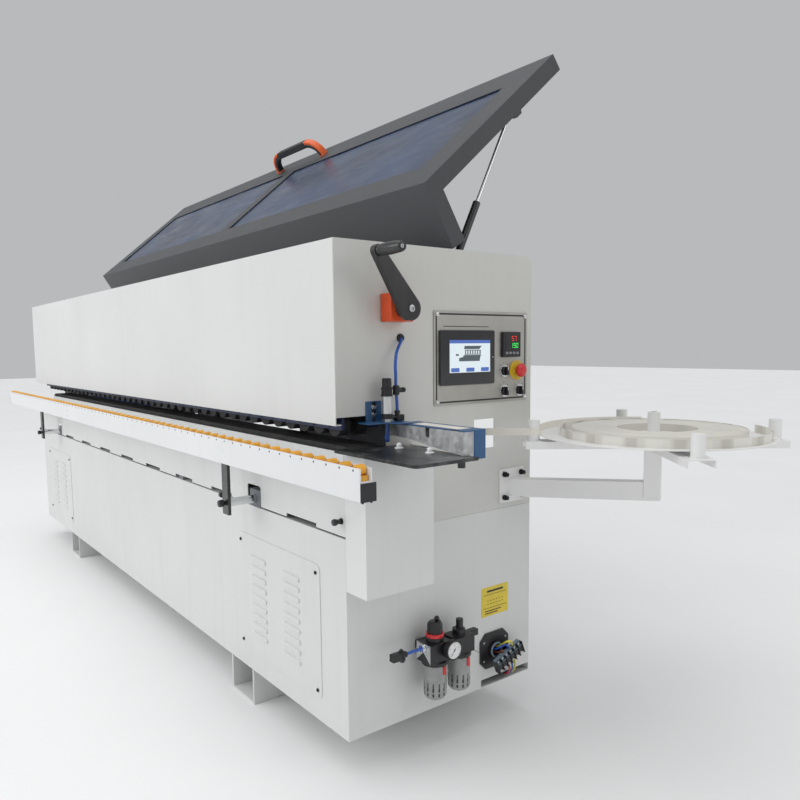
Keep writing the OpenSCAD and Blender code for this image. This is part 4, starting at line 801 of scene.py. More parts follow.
def counter():
    """Position counter on the crank shaft, with a small window of figures on its top."""
    refine("position_indicator", [ORANGE, BLACK], 2.6, 3, pick=lambda c: int(c.x < END_X + 0.004))
    lo, hi = low("position_indicator") / MM, high("position_indicator") / MM
    y, z = (lo.y + hi.y) / 2, 1217
    extra = bmesh.new()
    turn_into(extra, [(9.6, -2), (21, -2), (21, 2.6), (19.6, 4), (12, 4), (11, 2.8), (9.6, 2.8),
                      (9.6, -2)], on_end(hi.x, y, z), 32)
    block(extra, (lo.x + 8, y - 24, hi.z - 1), (hi.x - 8, y + 24, hi.z + 1.2), 0.8)
    finish_piece("counter_bezel", extra, BLACK, "base", SLOTS["touch_screen"])
    figures = bmesh.new()
    for i, digit in enumerate("0180"):
        place = place_by((lo.x + 18, y - 16 + i * 10.5, hi.z + 1.2), (0, 1, 0), (-1, 0, 0))
        figure(figures, digit, place, 5.2, 9.0, 1.0, 0.3)
    finish_piece("counter_figures", figures, DIAL, "base", SLOTS["control_plate"])


SEGMENTS = {"0": "abcdef", "1": "bc", "2": "abged", "3": "abgcd", "4": "fgbc", "5": "afgcd", "6": "afgedc",
            "7": "abc", "8": "abcdefg", "9": "abcdfg"}


def figure(bm, digit, place, wide, tall, stroke, depth):
    """A seven-stroke figure whose lower left corner is at the placed origin."""
    half = tall / 2
    spots = {
        "a": (0, tall - stroke, wide, tall), "d": (0, 0, wide, stroke),
        "g": (0, half - stroke / 2, wide, half + stroke / 2),
        "b": (wide - stroke, half, wide, tall), "c": (wide - stroke, 0, wide, half),
        "f": (0, half, stroke, tall), "e": (0, 0, stroke, half)
    }
    for key in SEGMENTS[digit]:
        x0, y0, x1, y1 = spots[key]
        pad = stroke * 0.12
        prism(bm, rounded_outline(x0 + pad, y0 + pad, x1 - pad, y1 - pad, stroke * 0.3, 2), depth, place)


# ---- control panel ----
PLATE_FACE = END_X / MM + 3
BUTTON = (272, 1052)
SELECTORS = {"upper": (219, 1051), "front": (219, 993), "rear": (281, 993)}


def control_panel():
    """Control plate with its border lines, screws and selector marks."""
    plate_low, plate_high = low("control_plate") / MM, high("control_plate") / MM

    def finish_of(c):
        if c.x < END_X + 0.0032:
            return 0
        if hypot(c.y / MM - BUTTON[0], c.z / MM - BUTTON[1]) < 31:
            return 2
        return 1
    refine("control_plate", [BRUSHED, CHROME, STOP_YELLOW], 0.5, 2, pick=finish_of)
    lines = bmesh.new()
    inset, wide = 6.5, 4.5
    y0, y1, z0, z1 = plate_low.y + inset, plate_high.y - inset, plate_low.z + inset, plate_high.z - inset
    for a, b in (((y0, z0), (y1, z0 + wide)), ((y0, z1 - wide), (y1, z1)),
                 ((y0, z0 + wide), (y0 + wide, z1 - wide)), ((y1 - wide, z0 + wide), (y1, z1 - wide))):
        block(lines, (PLATE_FACE, *a), (PLATE_FACE + 0.4, *b), 0.15, 1)
    screen_low, screen_high = low("touch_screen") / MM, high("touch_screen") / MM
    block(lines, (PLATE_FACE, screen_low.y + 15, screen_high.z + 9),
          (PLATE_FACE + 0.3, screen_high.y - 18, screen_high.z + 11))
    for y, z in SELECTORS.values():
        for a in (50, 90, 130):
            u, v = y + 24 * cos(radians(a)), z + 24 * sin(radians(a))
            block(lines, (PLATE_FACE, u - 1.6, v - 1), (PLATE_FACE + 0.3, u + 1.6, v + 1))
    finish_piece("plate_lines", lines, PRINT_AND_SLOT_SHADE, "base", SLOTS["touch_screen"])
    rims = bmesh.new()
    for y in (plate_low.y + 11, plate_high.y - 11):
        for z in (plate_low.z + 11, plate_high.z - 11):
            turn_into(rims, [(0, -1), (6.6, -1), (6.6, 2.4), (5.2, 4.6), (2.2, 4.9), (1.8, 4.3), (0, 4.3)],
                      on_end(PLATE_FACE, y, z), 24)
    finish_piece("plate_screws", rims, CHROME, "base", SLOTS["strut_rod_infeed"])


def touch_screen():
    """Operator screen with a machine picture and three buttons."""
    refine("touch_screen", GLOSS, 1.2, 3)
    lo, hi = low("touch_screen") / MM, high("touch_screen") / MM
    y0, y1, z0, z1 = lo.y + 32, lo.y + 193 - 8, lo.z + 34, hi.z - 27
    glass = hi.x
    lit, blue, dark = bmesh.new(), bmesh.new(), bmesh.new()
    block(lit, (glass - 0.5, y0, z0), (glass + 0.25, y1, z1), 0.1, 1)
    block(blue, (glass, y0, z1 - 9), (glass + 0.4, y1, z1), 0.1, 1)
    button = (y1 - y0) / 5
    for i in range(3):
        left = y0 + 5 + i * (y1 - y0 - 10 - button) / 2
        prism(blue, rounded_outline(left, z0 + 2, left + button, z0 + 13, 1.5, 3), 0.4, on_end(glass, 0, 0))
    wide, foot = (y1 - y0) * 0.55, z0 + 31
    left = y0 + (y1 - y0 - wide) / 2
    picture = on_end(glass, left, foot)
    outlines = (
        [(0, 0), (wide * 0.92, 0), (wide * 0.95, 12), (wide, 17), (wide * 0.2, 17), (wide * 0.18, 12),
         (0, 9)],
        [(wide * 0.26, 18), (wide * 0.97, 18), (wide * 0.97, 31), (wide * 0.26, 31)],
        [(wide * 0.22, 33), (wide * 0.9, 33), (wide * 1.02, 42), (wide * 0.24, 42)],
        [(-wide * 0.14, 15), (-wide * 0.02, 15), (-wide * 0.02, 20), (-wide * 0.14, 20)]
    )
    for number, outline in enumerate(outlines):
        prism(dark, outline, 0.4 if number != 1 else 0.32, picture)
    for i in range(6):
        block(lit, (glass + 0.25, left + wide * (0.3 + 0.11 * i), foot + 19.5),
              (glass + 0.5, left + wide * (0.36 + 0.11 * i), foot + 29), 0.1, 1)
    finish_piece("screen_face", lit, SCREEN, "base", SLOTS["touch_screen"])
    finish_piece("screen_bars", blue, SCREEN_BLUE, "base", SLOTS["touch_screen"])
    finish_piece("screen_picture", dark, SCREEN_INK, "base", SLOTS["touch_screen"])
    lamp = bmesh.new()
    turn_into(lamp, [(0, -0.5), (1.4, -0.5), (1.4, 0.3), (0, 0.3)],
              on_end(glass, hi.y - 8, (lo.z + hi.z) / 2), 12)
    finish_piece("screen_lamp", lamp, DIAL, "base", SLOTS["touch_screen"])


def temperature_controller():
    """Temperature display with two rows of figures."""
    refine("temperature_controller", BLACK, 1.6, 3)
    lo, hi = low("temperature_controller") / MM, high("temperature_controller") / MM
    face = hi.x
    place = on_end(face, lo.y, lo.z)
    glass, keys, red, green = bmesh.new(), bmesh.new(), bmesh.new(), bmesh.new()
    prism(glass, rounded_outline(9, 21, 63, 66, 2, 4), 0.5, place)
    for i in range(4):
        prism(keys, rounded_outline(9 + 14.5 * i, 8, 19.5 + 14.5 * i, 15, 1.5, 3), 1.0, place, 0.3)
    for bm, text, low_v, start in ((red, "57", 46, 34), (green, "190", 26, 30)):
        for i, digit in enumerate(text):
            figure(bm, digit, place @ upright(start + 11 * i, low_v, 0.5), 8, 14, 1.8, 0.3)
    finish_piece("controller_glass", glass, GLOSS, "base", SLOTS["touch_screen"])
    finish_piece("controller_keys", keys, UNIT, "base", SLOTS["touch_screen"])
    finish_piece("controller_upper_figures", red, DIGIT_RED, "base", SLOTS["touch_screen"])
    finish_piece("controller_lower_figures", green, DIGIT_GREEN, "base", SLOTS["touch_screen"])


def stop_and_switches():
    """Emergency stop and the three selector switches."""
    start = low("emergency_stop").x / MM
    face = PLATE_FACE
    top = high("emergency_stop").x / MM - face
    outline = [(0, start - face), (7.8, start - face), (7.8, 9), (11, 9.5), (15, 12), (18.6, 15), (20, 18),
               (19.8, 21),
               (18, top - 2.2), (13, top - 0.7), (6, top - 0.1), (0, top)]
    knob = turned_shape(outline, on_end(face, *BUTTON), 48)
    made = finish_piece("mushroom_head", knob, RED, "stop_button", SLOTS["emergency_stop"])
    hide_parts("emergency_stop")
    for key, (y, z) in SELECTORS.items():
        node = "selector_" + key
        knob = turned_shape([(0, 2), (8.8, 2), (8.8, 7), (12.9, 7), (12.9, 8.5), (11.5, 10), (0, 10)],
                            on_end(face, y, z), 36)
        prism(knob, [(-4, -12), (4, -12), (3.2, 12.2), (-3.2, 12.2)], 9, on_end(face + 9, y, z), 1.2,
              segments=3)
        body = body_for(node)
        made = finish_piece(node + "_knob", knob, BLACK, body, SLOTS[node])
        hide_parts(node)
        mark = bmesh.new()
        block(mark, (face + 17.5, y - 1.1, z + 2), (face + 18.3, y + 1.1, z + 12), 0.3, 1)
        finish_piece(node + "_mark", mark, DIAL, body, SLOTS[node])


# ---- infeed table, fence, stopper ----
def infeed():
    """Infeed table, fence and blue sheet-metal bracket."""
    refine("infeed_table", TABLE, 1.0)
    refine("infeed_fence", ZINC, 0.8)
    refine("fence_guard", BLUE, 0.8)
    top = high("infeed_fence").z / MM
    flange_z = top + 6
    bolts = bmesh.new()
    cap = [(0, -0.5), (5.6, -0.5), (5.6, 2.6), (4.6, 3.6), (2.6, 3.6), (2.6, 1.6), (0, 1.6)]
    for dz in (19, 38):
        turn_into(bolts, cap, on_end(END_X / MM + 3.2, -247, flange_z + dz), 20)
        turn_into(bolts, [(0, -0.4), (8.4, -0.4), (8.4, 0.9), (0, 0.9)],
                  on_end(END_X / MM + 3.2, -247, flange_z + dz), 20)
    finish_piece("bracket_bolts", bolts, STEEL, "base", SLOTS["infeed_fence"])
    # Dark patches for the two slots in the blue bracket: painted shade in the openings.
    dark = bmesh.new()
    prism(dark, rounded_outline(-4, -12, 4, 6, 3.9, 5), 0.4, on_end(END_X / MM + 3, -247, flange_z + 8))
    prism(dark, rounded_outline(-14, -3.5, 14, 3.5, 3.4, 5), 0.4, upright(1921, -207, top + 3), 0)
    finish_piece("guard_slot_painted_shade", dark, PRINT_AND_SLOT_SHADE, "base", SLOTS["touch_screen"])
    strip = bmesh.new()
    prism(strip, rounded_outline(1754, -196, 1921, -158, 3, 4), 0.6, upright(0, 0, top + 3), 0.2)
    finish_piece("guard_film", strip, TAPE, "base", SLOTS["tape_coil"])
    balls = bmesh.new()
    table_top = high("infeed_table").z / MM
    for x, y in ((1744, -232), (1857, -229)):
        turn_into(balls, [(0, 0)] + arc(0, 7, 7, 7, -60, 90, 8), upright(x, y, table_top), 20)
        turn_into(balls, [(0, 0), (11, 0), (11, 2), (9.5, 3), (0, 3)], upright(x, y, table_top), 24)
    finish_piece("ball_casters", balls, BEADS, "base", SLOTS["tray_arm"])


def stopper():
    """Pneumatic stopper cylinder at the infeed."""
    axis = middle("stopper_pin") / MM
    foot = low("stopper_cylinder").z / MM
    top = high("stopper_cylinder").z / MM - foot
    steel, barrel, black = bmesh.new(), bmesh.new(), bmesh.new()
    place = upright(axis.x, axis.y, foot)
    turn_into(steel, [(5.4, 0), (13.9, 0), (13.9, 6.5), (12.6, 8), (5.4, 8), (5.4, 0)], place, 6)
    turn_into(black, [(5.4, 8), (14.4, 8), (14.4, 19), (13, 20), (5.4, 20), (5.4, 8)], place, 32)
    turn_into(barrel, [(5.4, 20), (12.4, 20), (13, 21), (13, top - 47), (12.4, top - 45), (5.4, top - 45),
                       (5.4, 20)], place, 36)
    ribs = [(0, top - 45), (14.8, top - 45), (14.8, top - 40), (13.4, top - 39), (13.4, top - 29),
            (14.8, top - 28),
            (14.8, top - 23), (12, top - 22), (12, top - 3), (10.5, top), (0, top)]
    turn_into(black, ribs, place, 32)
    elbow_y = axis.y + 38
    turn_into(black, [(0, 10), (6, 10), (6, 34), (0, 34)],
              place_by((axis.x, axis.y, foot + 10), (1, 0, 0), (0, 0, -1)), 20)
    block(black, (axis.x - 8, elbow_y - 12, foot), (axis.x + 8, elbow_y + 12, foot + 16), 2.0)
    riser_top = HOSE_END.z - foot
    turn_into(black, [(0, 14), (6, 14), (6, riser_top - 8), (7.4, riser_top - 7), (7.4, riser_top - 1),
                      (5.4, riser_top),
                      (0, riser_top)], upright(axis.x, HOSE_END.y, foot), 24)
    made = finish_piece("cylinder_barrel", barrel, ALU, "base", SLOTS["stopper_cylinder"])
    finish_piece("cylinder_nut", steel, STEEL, "base", SLOTS["stopper_cylinder"])
    finish_piece("cylinder_caps", black, BLACK, "base", SLOTS["touch_screen"])
    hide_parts("stopper_cylinder")
    coat_node("stopper_pin", HOSE_BLUE)


HOSE_START = Vector((END_X / MM, -158, 1146))
HOSE_ROUTE = (
    (-10, 0, 0), (2, 0, 0), (10, -4, -4), (16, -12, -12), (20, -22, -24), (25, -32, -38), (29, -37, -50),
    (32, -41, -64), (33, -42, -80), (34, -42, -97), (34, -42, -114), (34, -41, -131), (34, -40, -148),
    (33, -38, -165), (32, -37, -182)
)
HOSE_END = HOSE_START + Vector(HOSE_ROUTE[-1])


def hose():
    """Air hose from the end panel down to the stopper, with a speed controller half way."""
    line = cord("stopper_air_hose", [HOSE_START + Vector(p) for p in HOSE_ROUTE], 8, HOSE_BLUE, "base",
                SLOTS["stopper_hose"])
    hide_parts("stopper_hose")
    fittings = bmesh.new()
    turn_into(fittings, [(4.2, -2), (10.6, -2), (10.6, 3), (9, 6), (6.5, 7), (4.2, 7), (4.2, -2)],
              on_end(*HOSE_START), 24)
    regulator = HOSE_START + Vector(HOSE_ROUTE[11])
    place = upright(regulator.x, regulator.y, regulator.z - 12)
    turn_into(fittings, [(4.1, 0), (7.6, 0), (8.6, 3), (8.6, 21), (7.6, 24), (4.1, 24), (4.1, 0)], place,
              24)
    side = place_by((regulator.x, regulator.y, regulator.z), (-1, 0, 0), (0, 0, 1))
    turn_into(fittings, [(0, 6), (6.5, 6), (6.5, 15), (4.5, 16), (4.5, 18), (6.5, 19), (6.5, 26), (0, 27)],
              side, 20)
    finish_piece("hose_fittings", fittings, BLACK, "base", SLOTS["touch_screen"])


# ---- tape tray ----
COIL_OUTER_R, COIL_INNER_R, COIL_RINGS = 225, 104, 24


def tray():
    """Tape tray with its arm, cross, disc and wound coil."""
    refine("tray_arm", TRAY, 1.2)
    refine("tray_cross", TRAY, 1.0)
    refine("tray_disc", TRAY, 1.0)
    centre = middle("tape_coil") / MM
    foot = low("tape_coil").z / MM
    tall = high("tape_coil").z / MM - foot
    outer, inner, rings = COIL_OUTER_R, COIL_INNER_R, COIL_RINGS
    step = (outer - inner) / rings
    profile = [(inner, 0), (inner, tall - 1)]
    for i in range(rings):
        r = inner + i * step
        lift = 0.5 + 0.45 * noise.noise(Vector((r * 0.13, 2.0, 0)))
        profile += [(r + 0.6, tall - 1 + lift), (r + step - 1.1, tall - 1 + lift),
                    (r + step - 0.5, tall - 2)]
    profile += [(outer, tall - 1), (outer, 0), (inner, 0)]
    coil = turned_shape(profile, upright(centre.x, centre.y, foot), 96)
    add(coil, ribbon([(centre.x + r * cos(radians(a)), centre.y + r * sin(radians(a))) for a, r in
                      [(-330 + 6 * i, outer - 0.3 + (286 - outer) * i / 65) for i in range(66)]],
                     foot, foot + tall, 1.2))
    made = finish_piece("wound_tape", coil, COIL, "turntable", SLOTS["tape_coil"])
    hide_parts("tape_coil")
    coat_node("edge_tape", TAPE)
    nuts = bmesh.new()
    cross = middle("tray_cross") / MM
    top = high("tray_disc").z / MM
    turn_into(nuts, [(0, -6), (9, -6), (9, 0.5), (7, 2), (0, 2)], upright(cross.x, cross.y, top - 1), 6)
    finish_piece("tray_centre_nut", nuts, STEEL, "base", SLOTS["infeed_fence"])


def ribbon(points, z0, z1, thick):
    """A thin standing band along points in the plane."""
    bm = bmesh.new()
    verts = [bm.verts.new((x * MM, y * MM, z0 * MM)) for x, y in points]
    edges = [bm.edges.new(pair) for pair in zip(verts, verts[1:])]
    made = bmesh.ops.extrude_edge_only(bm, edges=edges)
    raised = [g for g in made["geom"] if isinstance(g, bmesh.types.BMVert)]
    bmesh.ops.translate(bm, verts=raised, vec=(0, 0, (z1 - z0) * MM))
    bmesh.ops.solidify(bm, geom=bm.faces[:], thickness=thick * MM)
    bmesh.ops.recalc_face_normals(bm, faces=bm.faces)
    return bm


# ---- air service unit ----
AIR_X, REG_Y, OIL_Y = END_X / MM + 58, -96, -10


def air_unit():
    """Filter regulator and lubricator on the end panel."""
    def finish_of(c):
        y, z = c.y / MM, c.z / MM
        if -199 < y < -143 and abs(c.x / MM - AIR_X) < 4.4 and abs(z - 332) < 4.4:
            return 1
        if -146 < y < -135 and hypot(c.x / MM - AIR_X, z - 332) < 12:
            return 2
        return 0
    refine("air_unit", [BLACK, HOSE_BLUE, CHROME], 1.6, 3, pick=finish_of)
    knob_low, knob_high = low("regulator_knob").z / MM, high("regulator_knob").z / MM
    seat = 344
    outline = [(0, knob_low - seat), (7.6, knob_low - seat), (7.6, 0.4), (24, 0.4), (24, 8), (22.5, 10),
               (20, 20), (20, 46),
               (18.4, 49), (15, knob_high - seat), (0, knob_high - seat)]
    knob = turned_shape(outline, upright(AIR_X, REG_Y, seat), 40)
    for i in range(20):
        a = 2 * pi * i / 20
        block(knob, (AIR_X + 19.4 * cos(a) - 1, REG_Y + 19.4 * sin(a) - 1, seat + 24),
              (AIR_X + 19.4 * cos(a) + 1, REG_Y + 19.4 * sin(a) + 1, seat + 45), 0.4, 1)
    made = finish_piece("regulator_cap", knob, BLACK, "air_knob", SLOTS["regulator_knob"])
    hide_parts("regulator_knob")
    ring = turned_shape([(20.5, 12), (24.6, 12), (25, 14), (25, 20), (24, 21.5), (20.5, 21.5), (20.5, 12)],
                        upright(AIR_X, REG_Y, seat), 40)
    finish_piece("regulator_ring", ring, RED, "air_knob", SLOTS["emergency_stop"])
    bowls()
    gauge()
    inlet_fitting()


def bowls():
    """Clear bowls inside their slotted guards."""
    foot, top = low("air_bowls").z / MM, high("air_bowls").z / MM
    shells, slots, latches = bmesh.new(), bmesh.new(), bmesh.new()
    tall = top - foot
    for y in (REG_Y, OIL_Y):
        outline = [(0, 0), (8, 0), (8, 2), (20, 2.5), (26, 6), (29.5, 11), (30.4, 20), (30.4, 36),
                   (31, 38), (31, tall - 6),
                   (30, tall), (0, tall)]
        turn_into(shells, outline, upright(AIR_X, y, foot), 48)
        for i in range(12):
            a = 360 * i / 12 + 10
            spot = (AIR_X + 30.2 * cos(radians(a)), y + 30.2 * sin(radians(a)))
            out = place_by((*spot, foot + 20), (-sin(radians(a)), cos(radians(a)), 0), (0, 0, 1))
            # The dark patches in the guard slots are painted shade where the openings look into the bowl.
            prism(slots, rounded_outline(-2.4, -5, 2.4, 4, 1.6, 3), 0.55, out, 0.15, segments=1)
            prism(slots, rounded_outline(-2.4, 8, 2.4, 32, 2.0, 3), 0.75, out, 0.15, segments=1)
        latch = on_end(AIR_X + 29.6, y + 6, top - 26)
        prism(latches, rounded_outline(-5, 0, 5, 25, 4.6, 5), 4.0, latch, 1.2, segments=3)
        turn_into(shells, [(0, -6), (5, -6), (6, -4), (6, 1), (0, 1)], upright(AIR_X, y, foot), 16)
    made = finish_piece("bowl_guards", shells, BOWL, "base", SLOTS["air_bowls"])
    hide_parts("air_bowls")
    finish_piece("bowl_slot_painted_shade", slots, PRINT_AND_SLOT_SHADE, "base", SLOTS["touch_screen"])
    finish_piece("bowl_latches", latches, RED, "base", SLOTS["emergency_stop"])


def gauge():
    """Pressure gauge: dial, ticks, needle and glass."""
    face, y, z = END_X / MM + 110, REG_Y + 23, 326
    dial, ink, glass = bmesh.new(), bmesh.new(), bmesh.new()
    turn_into(dial, [(0, -0.4), (23, -0.4), (23, 0.4), (0, 0.4)], on_end(face, y, z), 48)
    for i in range(21):
        a = radians(225 - 13.5 * i)
        long = 4.2 if i % 5 == 0 else 2.4
        place = on_end(face, y, z) @ Matrix.Rotation(a, 4, "Z") @ upright(0, 0, 0.4)
        prism(ink, [(20.5 - long, -0.4), (20.5, -0.4), (20.5, 0.4), (20.5 - long, 0.4)], 0.15, place)
    needle = on_end(face, y, z) @ Matrix.Rotation(radians(232), 4, "Z") @ upright(0, 0, 0.6)
    prism(ink, [(-7, -1.3), (0, -1.7), (18, -0.35), (18, 0.35), (0, 1.7), (-7, 1.3)], 0.4, needle)
    turn_into(ink, [(0, 0.3), (3, 0.3), (3, 1.5), (0, 1.6)], on_end(face, y, z), 20)
    for i, digit in enumerate("0246"):
        a = radians(225 - 67.5 * i)
        spot = on_end(face, y, z) @ upright(13.2 * cos(a) - 1.4, 13.2 * sin(a) - 2, 0.4)
        figure(ink, digit, spot, 2.8, 4.2, 0.6, 0.15)
    rim = turned_shape([(22.6, -1), (26.3, -1), (26.6, 0.5), (26, 2.4), (24.4, 2.8), (22.6, 1.2),
                        (22.6, -1)],
                       on_end(face, y, z), 48)
    turn_into(glass, [(0, 1.7), (22.8, 1.6), (22.8, 1.9), (0, 2.3)], on_end(face, y, z), 40)
    finish_piece("gauge_dial", dial, DIAL, "base", SLOTS["control_plate"])
    finish_piece("gauge_marks", ink, PRINT_AND_SLOT_SHADE, "base", SLOTS["touch_screen"])
    finish_piece("gauge_rim", rim, BLACK, "base", SLOTS["air_unit"])
    finish_piece("gauge_glass", glass, GLASS, "base", SLOTS["air_bowls"])


def inlet_fitting():
    """Air inlet, branch fitting and the lock of the regulator knob."""
    extra, shiny = bmesh.new(), bmesh.new()
    y, z = REG_Y - 130, 332
    tee = place_by((AIR_X, y, z), (1, 0, 0), (0, 0, 1))
    for turn, reach in ((150, 26), (205, 24)):
        place = tee @ Matrix.Rotation(radians(turn), 4, "X")
        turn_into(extra, [(0, 0), (7.6, 0), (7.6, reach - 8), (8.8, reach - 7), (8.8, reach - 1),
                          (7, reach), (0, reach)],
                  place, 24)
    turn_into(shiny, [(0, -1), (13, -1), (13, 3), (11.6, 4.2), (6, 4.2), (6, 7), (0, 7)],
              place_by((AIR_X, REG_Y - 40, z), (1, 0, 0), (0, 0, 1)), 6)
    finish_piece("branch_fitting", extra, BLACK, "base", SLOTS["air_unit"])
    finish_piece("inlet_nut", shiny, CHROME, "base", SLOTS["strut_rod_infeed"])
    lever = bmesh.new()
    turn_into(lever, [(0, 0), (5, 0), (6.5, 3), (6.5, 9), (4, 11), (4, 15), (7, 17), (7, 24), (5, 26),
                      (0, 26)],
              place_by((AIR_X, REG_Y + 18, 384), (1, 0, 0), (0, -0.35, 1))
              @ Matrix.Rotation(radians(-78), 4, "X"), 20)
    finish_piece("knob_lock", lever, BLACK, "air_knob", SLOTS["regulator_knob"])


# ---- gland and leads ----
GLAND = (183, 226)
LEADS = (
    ("lead_yellow_in", (0.72, 0.62, 0.06),
     ((-6, 8, 6), (12, 8, 7), (24, 12, 16), (34, 22, 26), (38, 34, 24), (37, 40, 12))),
    ("lead_blue_in", (0.015, 0.08, 0.42),
     ((-6, -6, 4), (14, -5, 4), (26, 2, 12), (34, 12, 18), (37, 20, 14), (36, 24, 2))),
    ("lead_brown_in", (0.20, 0.055, 0.035),
     ((-6, 0, -9), (12, 0, -8), (24, 0, -4), (32, 2, 2), (35, 4, 2), (35, 5, -4))),
    ("lead_red_out", (0.50, 0.02, 0.03),
     ((36, 26, -39), (36, 30, -52), (30, 38, -66), (18, 46, -80), (6, 52, -90), (-8, 54, -96))),
    ("lead_blue_out", (0.03, 0.12, 0.35),
     ((36, 38, -34), (36, 42, -48), (30, 50, -64), (18, 57, -80), (6, 63, -90), (-8, 65, -96))),
    ("lead_yellow_out", (0.62, 0.56, 0.05),
     ((36, 50, -29), (36, 54, -44), (30, 61, -62), (18, 68, -79), (6, 74, -90), (-8, 76, -96)))
)


def gland():
    """Cable gland plate, terminal block and the six leads."""
    def finish_of(c):
        near = hypot(c.y / MM - GLAND[0], c.z / MM - GLAND[1]) < 24.2 and c.x / MM > END_X / MM + 5.5
        return int(near)
    refine("cable_gland", [BLACK, NIPPLE], 0.7, 2, pick=finish_of)
    first = None
    for name, colour, route in LEADS:
        made = cord(name, [Vector((END_X / MM, *GLAND)) + Vector(p) for p in route], 6,
                    plastic(name + "_skin", colour, 0.34, mottle=0.08), "base", SLOTS["lead_wires"])
        first = first or made
    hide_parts("lead_wires")
    screws = bmesh.new()
    tilt = Matrix.Rotation(radians(22), 4, "X")
    block_place = upright(END_X / MM, 206, 208) @ tilt
    head = [(0, 0), (4.6, 0), (4.6, 1.2), (3.4, 1.9), (1.2, 1.9), (1.0, 1.1), (0, 1.1)]
    for i in range(6):
        for s in (-1, 1):
            spot = block_place @ place_by((44.6, -45 + 18 * i, 15 * s), (0, 1, 0), (0, 0, 1))
            turn_into(screws, head, spot, 14)
    for dy in (-44, 44):
        for dz in (-28, 28):
            spot = on_end(END_X / MM + 5, GLAND[0] + dy, GLAND[1] + dz)
            turn_into(screws, [(0, -0.5), (3.4, -0.5), (3.2, 1.2), (1, 1.6), (0.8, 1), (0, 1)], spot, 12)
    finish_piece("terminal_screws", screws, STEEL, "base", SLOTS["infeed_fence"])
    walls = bmesh.new()
    for i in range(7):
        spot = block_place @ upright(46, -54 + 18 * i, 0)
        part = bmesh.new()
        block(part, (-4, -1, -20), (7, 1, 20), 0.4, 1)
        bmesh.ops.transform(part, matrix=spot, verts=part.verts)
        add(walls, part)
    finish_piece("terminal_walls", walls, BLACK, "base", SLOTS["cable_gland"])


# data plate on the infeed end panel
LABEL_Y, LABEL_Z, LABEL_THICK = (133, 243), (330, 418), 0.8


def label_plate():
    """Plain yellow data plate with ruled lines."""
    plate, rules = bmesh.new(), bmesh.new()
    (y0, y1), (z0, z1) = LABEL_Y, LABEL_Z
    prism(plate, rounded_outline(y0, z0, y1, z1, 3, 4), LABEL_THICK, on_end(END_X / MM, 0, 0), 0.2)
    face = END_X / MM + LABEL_THICK
    for a, b in (((y0 + 22, z1 - 16), (y1 - 22, z1 - 10)), ((y0 + 8, z1 - 24), (y1 - 8, z1 - 22.8)),
                 ((y0 + 8, z0 + 24), (y1 - 8, z0 + 25.2)), ((y0 + 14, z0 + 14), (y1 - 30, z0 + 17)),
                 ((y0 + 14, z0 + 7), (y1 - 44, z0 + 10))):
        block(rules, (face, *a), (face + 0.25, *b))
    for i in range(6):
        y = y0 + 22 + 12 * i
        block(rules, (face, y, z0 + 36), (face + 0.25, y + 7, z0 + 37.4))
        block(rules, (face, y, z0 + 46), (face + 0.25, y + 7, z0 + 47.4))
    finish_piece("data_plate", plate, STICKER, "base", SLOTS["position_indicator"])
    finish_piece("data_plate_rules", rules, PRINT_AND_SLOT_SHADE, "base", SLOTS["touch_screen"])


# anchor bolts, on the channel floors
ANCHOR_X, ANCHOR_Y, CHANNEL_FLOOR = 1040, 240, 8


def small_hardware():
    """Knob at the front corner of the cabinet, and the anchor bolts of the floor channels."""
    black, bright = bmesh.new(), bmesh.new()
    cone = [(0, -0.4), (6, -0.4), (7, 1), (7, 3), (5, 6), (8, 12), (9, 18), (7.5, 22), (0, 23)]
    turn_into(black, cone, on_front(END_X / MM - 16, FRONT_Y / MM - 4, SEAM_Z / MM + 44), 20)
    finish_piece("corner_knob", black, BLACK, "base", SLOTS["fasteners"])
    for x in (-ANCHOR_X, ANCHOR_X):
        for y in (-ANCHOR_Y, ANCHOR_Y):
            turn_into(bright, [(0, 0), (13, 0), (13, 2), (0, 2)], upright(x, y, CHANNEL_FLOOR), 24)
            turn_into(bright, [(0, 2), (9, 2), (9, 9), (8, 10), (0, 10)], upright(x, y, CHANNEL_FLOOR), 6)
    finish_piece("anchor_bolts", bright, STEEL, "base", SLOTS["infeed_fence"])


REAR_DOOR_X = ((-1560, -830), (-790, -60), (60, 790), (830, 1560))
LOUVRES, LOUVRE_PITCH = 9, 25


